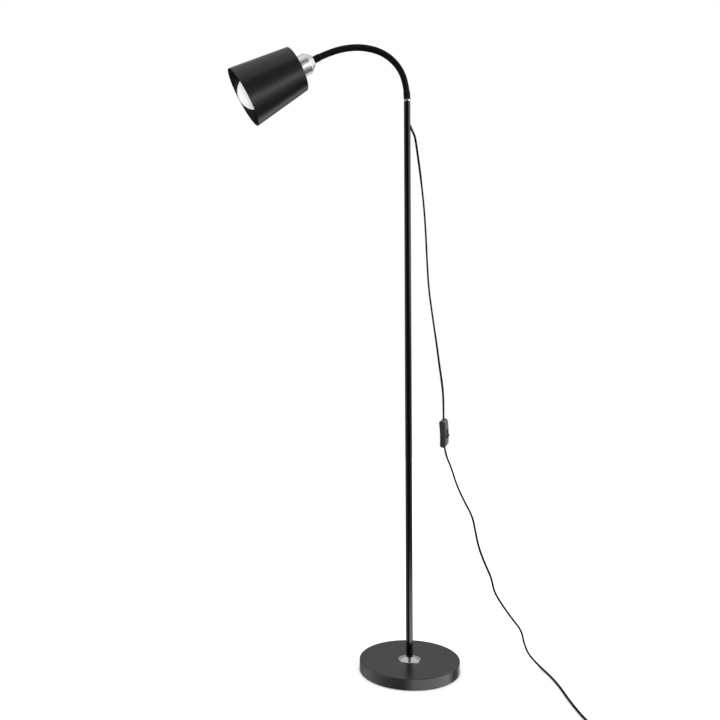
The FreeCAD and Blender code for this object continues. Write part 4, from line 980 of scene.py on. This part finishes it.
def plug(tail, leaving):
    """Flat two-pin plug: the boot and body are one outline of two straight sides and two round
    ends that swells from the cord to the body; the pins have black roots."""
    side = np.cross(UP, leaving)
    drop_full = PLUG_REST - tail[2]
    along = np.concatenate([np.linspace(0, 22, 45), np.linspace(22.4, 55.2, 40), [55.8, PLUG_LENGTH]])
    swell = smooth(np.clip((along - 16) / 24, 0, 1))
    half_height = 3.0 + (PLUG_HALF_HEIGHT - 3.0) * swell
    half_width = 3.4 + (PLUG_HALF_WIDTH - 3.4) * np.clip((along - 14) / 26, 0, 1) ** 0.8
    groove = 0.5 * np.clip(np.cos((along - 5) / 3.4 * 2 * math.pi), 0, 1) ** 2 * (along > 3) * (along < 17)
    half_height, half_width = half_height - groove, half_width - groove
    half_height[-2:] -= [0.5, 1.3]
    half_width[-2:] -= [0.5, 1.3]
    half_width = np.maximum(half_width, half_height + 0.05)
    around = circle(48)
    reach = (half_width - half_height)[:, None] * np.sign(np.round(np.cos(around), 6))
    across = half_height[:, None] * np.cos(around) + reach
    high = half_height[:, None] * np.sin(around) + (drop_full * swell)[:, None]
    points = tail + along[:, None, None] * leaving + across[..., None] * side + high[..., None] * UP
    body = tube("plug_moulded", points, "stand", "plug_black")
    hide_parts("plug_boot", "plug_body")
    pin = rounded([
        (0.0, -1.0, 0.0), (PIN_RADIUS, -1.0, 0.2), (PIN_RADIUS, PIN_LENGTH, 1.2), (0.0, PIN_LENGTH, 0.0),
    ])
    bore = PIN_RADIUS + 0.01
    sleeve = rounded([
        (bore, -0.5, 0.1), (SLEEVE_RADIUS, -0.5, 0.1), (SLEEVE_RADIUS, SLEEVE_LENGTH, 0.1),
        (bore, SLEEVE_LENGTH, 0.05),
    ])
    pins = []
    for hand, end in (("left", 1), ("right", -1)):
        foot = tail + leaving * PLUG_LENGTH + side * end * PIN_SPACING / 2 + UP * drop_full
        pins.append(turned("plug_pin_" + hand, pin, "stand", "steel", origin=foot, axis=leaving,
                           closed=False, segments=40))
        pins.append(turned("plug_pin_sleeve_" + hand, sleeve, "stand", "plug_black", origin=foot,
                           axis=leaving, segments=40))
    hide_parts("plug_pins")
    return [body] + pins


def dress(node, finish):
    node.data.materials.clear()
    node.data.materials.append(MATERIALS[finish])


def coil_tie():
    """The band round the bundle keeps its shape and takes the plug's finish."""
    node = frame["nodes"]["coil_tie"]
    dress(node, "plug_black")
    return node


# Materials of the carried-over pieces

def dress_nodes():
    """Every CAD piece takes the finish of its material slot."""
    for entry in frame["record"]["subparts"]:
        dress(frame["nodes"][entry["node"]], entry["material_slot"])


# Studio

def window(tree, value, low, low_full, high_full, high):
    """One between low_full and high_full, fading smoothly to nothing at low and at high."""
    steps = []
    for ends in ((low, low_full, 0.0, 1.0), (high_full, high, 1.0, 0.0)):
        node = tree.nodes.new("ShaderNodeMapRange")
        node.interpolation_type = "SMOOTHSTEP"
        tree.links.new(value, node.inputs["Value"])
        set_inputs(node, dict(zip(("From Min", "From Max", "To Min", "To Max"), ends)))
        steps.append(node.outputs["Result"])
    return math_node(tree, "MULTIPLY", *steps)


# What polished surfaces see round the lamp: brightness, then the bearing and the height above the
# horizon as (nothing, full, full, nothing), degrees. Bearing 0 is the front, 90 the right.
STUDIO_CARDS = [
    (0.60, (-400, -399, 399, 400), (26, 42, 399, 400)),
    (1.80, (32, 54, 108, 135), (3, 14, 30, 42)),
    (0.45, (34, 58, 108, 135), (-14, -8, 3, 14)),
    (3.60, (-14, 8, 88, 112), (-28, -23, -18, -12)),
    (0.35, (-140, -118, -66, -30), (-60, -40, 26, 42)),
    (0.50, (-140, -118, -100, -60), (-60, -40, 26, 42)),
    (0.28, (118, 140, 399, 400), (-40, -20, 26, 42)),
    (1.10, (136, 150, 399, 400), (-34, -26, -12, -6)),
    (0.28, (-400, -399, -140, -118), (-40, -20, 26, 42)),
    (0.05, (-400, -399, 399, 400), (-399, -398, 26, 42)),
]

FLOOR_REACH, FLOOR_DROP = 6.0, -0.0005


def studio():
    """White air for the camera, even light for matt surfaces, and for polished surfaces a studio
    with a bright ceiling, a softbox and a low strip on the right and a pale wall behind."""
    world = bpy.data.worlds.new("studio_air")
    world.use_nodes = True
    world.cycles.sampling_method = "NONE"
    tree = world.node_tree
    white = (1.0, 1.0, 1.0, 1.0)
    even = tree.nodes["Background"]
    set_inputs(even, {"Color": white, "Strength": 1.5})
    place = tree.nodes.new("ShaderNodeTexCoord").outputs["Generated"]
    parts = []
    heading = math.radians(CAMERA_HEADING)
    to_camera = np.array([-math.sin(heading), -math.cos(heading), 0.0])
    for direction in (to_camera, np.cross(UP, to_camera), UP):
        dot = tree.nodes.new("ShaderNodeVectorMath")
        dot.operation = "DOT_PRODUCT"
        tree.links.new(place, dot.inputs[0])
        dot.inputs[1].default_value = direction
        parts.append(dot.outputs["Value"])
    bearing = math_node(tree, "DEGREES", math_node(tree, "ARCTAN2", parts[1], parts[0]))
    height = math_node(tree, "DEGREES", math_node(tree, "ARCSINE", parts[2]))
    total = None
    for brightness, across, upwards in STUDIO_CARDS:
        card = math_node(tree, "MULTIPLY", window(tree, bearing, *across), window(tree, height, *upwards))
        card = math_node(tree, "MULTIPLY", card, brightness)
        total = card if total is None else math_node(tree, "ADD", total, card)
    shiny = tree.nodes.new("ShaderNodeBackground")
    tree.links.new(total, shiny.inputs["Strength"])
    air = tree.nodes.new("ShaderNodeBackground")
    for node in (shiny, air):
        set_inputs(node, {"Color": white})
    path = tree.nodes.new("ShaderNodeLightPath")
    shown = even
    for ray, other in (("Is Glossy Ray", shiny), ("Is Camera Ray", air)):
        choose = tree.nodes.new("ShaderNodeMixShader")
        tree.links.new(path.outputs[ray], choose.inputs["Fac"])
        tree.links.new(shown.outputs[0], choose.inputs[1])
        tree.links.new(other.outputs[0], choose.inputs[2])
        shown = choose
    tree.links.new(shown.outputs[0], tree.nodes["World Output"].inputs["Surface"])
    bpy.context.scene.world = world
    bpy.context.scene.view_settings.view_transform = "Standard"
    floor_material, _, _ = new_material("studio_floor", (0.93, 0.93, 0.93), roughness=0.9, specular=0.0)
    signs = ((-1, -1), (1, -1), (1, 1), (-1, 1))
    corners = [(x * FLOOR_REACH, y * FLOOR_REACH, FLOOR_DROP) for x, y in signs]
    mesh = bpy.data.meshes.new("studio_floor")
    mesh.from_pydata(corners, [], [(0, 1, 2, 3)])
    mesh.materials.append(floor_material)
    floor = new_object("studio_floor", mesh)
    floor.visible_glossy = False
    softbox("ceiling_softbox", (-0.4, -0.9, 3.2), (-0.1, 0.0, 0.8), 2.0, 2.0, 4.0)


def softbox(name, place, target, width, height, power):
    light = bpy.data.lights.new(name, "AREA")
    light.shape = "RECTANGLE"
    light.size, light.size_y = width, height
    light.energy = power
    thing = new_object(name, light)
    back = unit(np.subtract(place, target))
    side = unit(np.cross(UP, back))
    thing.matrix_world = placed(side, np.cross(back, side), back, place)
    thing.visible_camera = False


add_camera()
MATERIALS = make_materials()
dress_nodes()
upper, upper_path, lower, lower_path, tail, leaving = cords()
boot = strain_relief()
switch_pieces = hand_switch()
plug_pieces = plug(tail, leaving)
tie = coil_tie()
base()
pole()
neck_sleeves()
head()
studio()
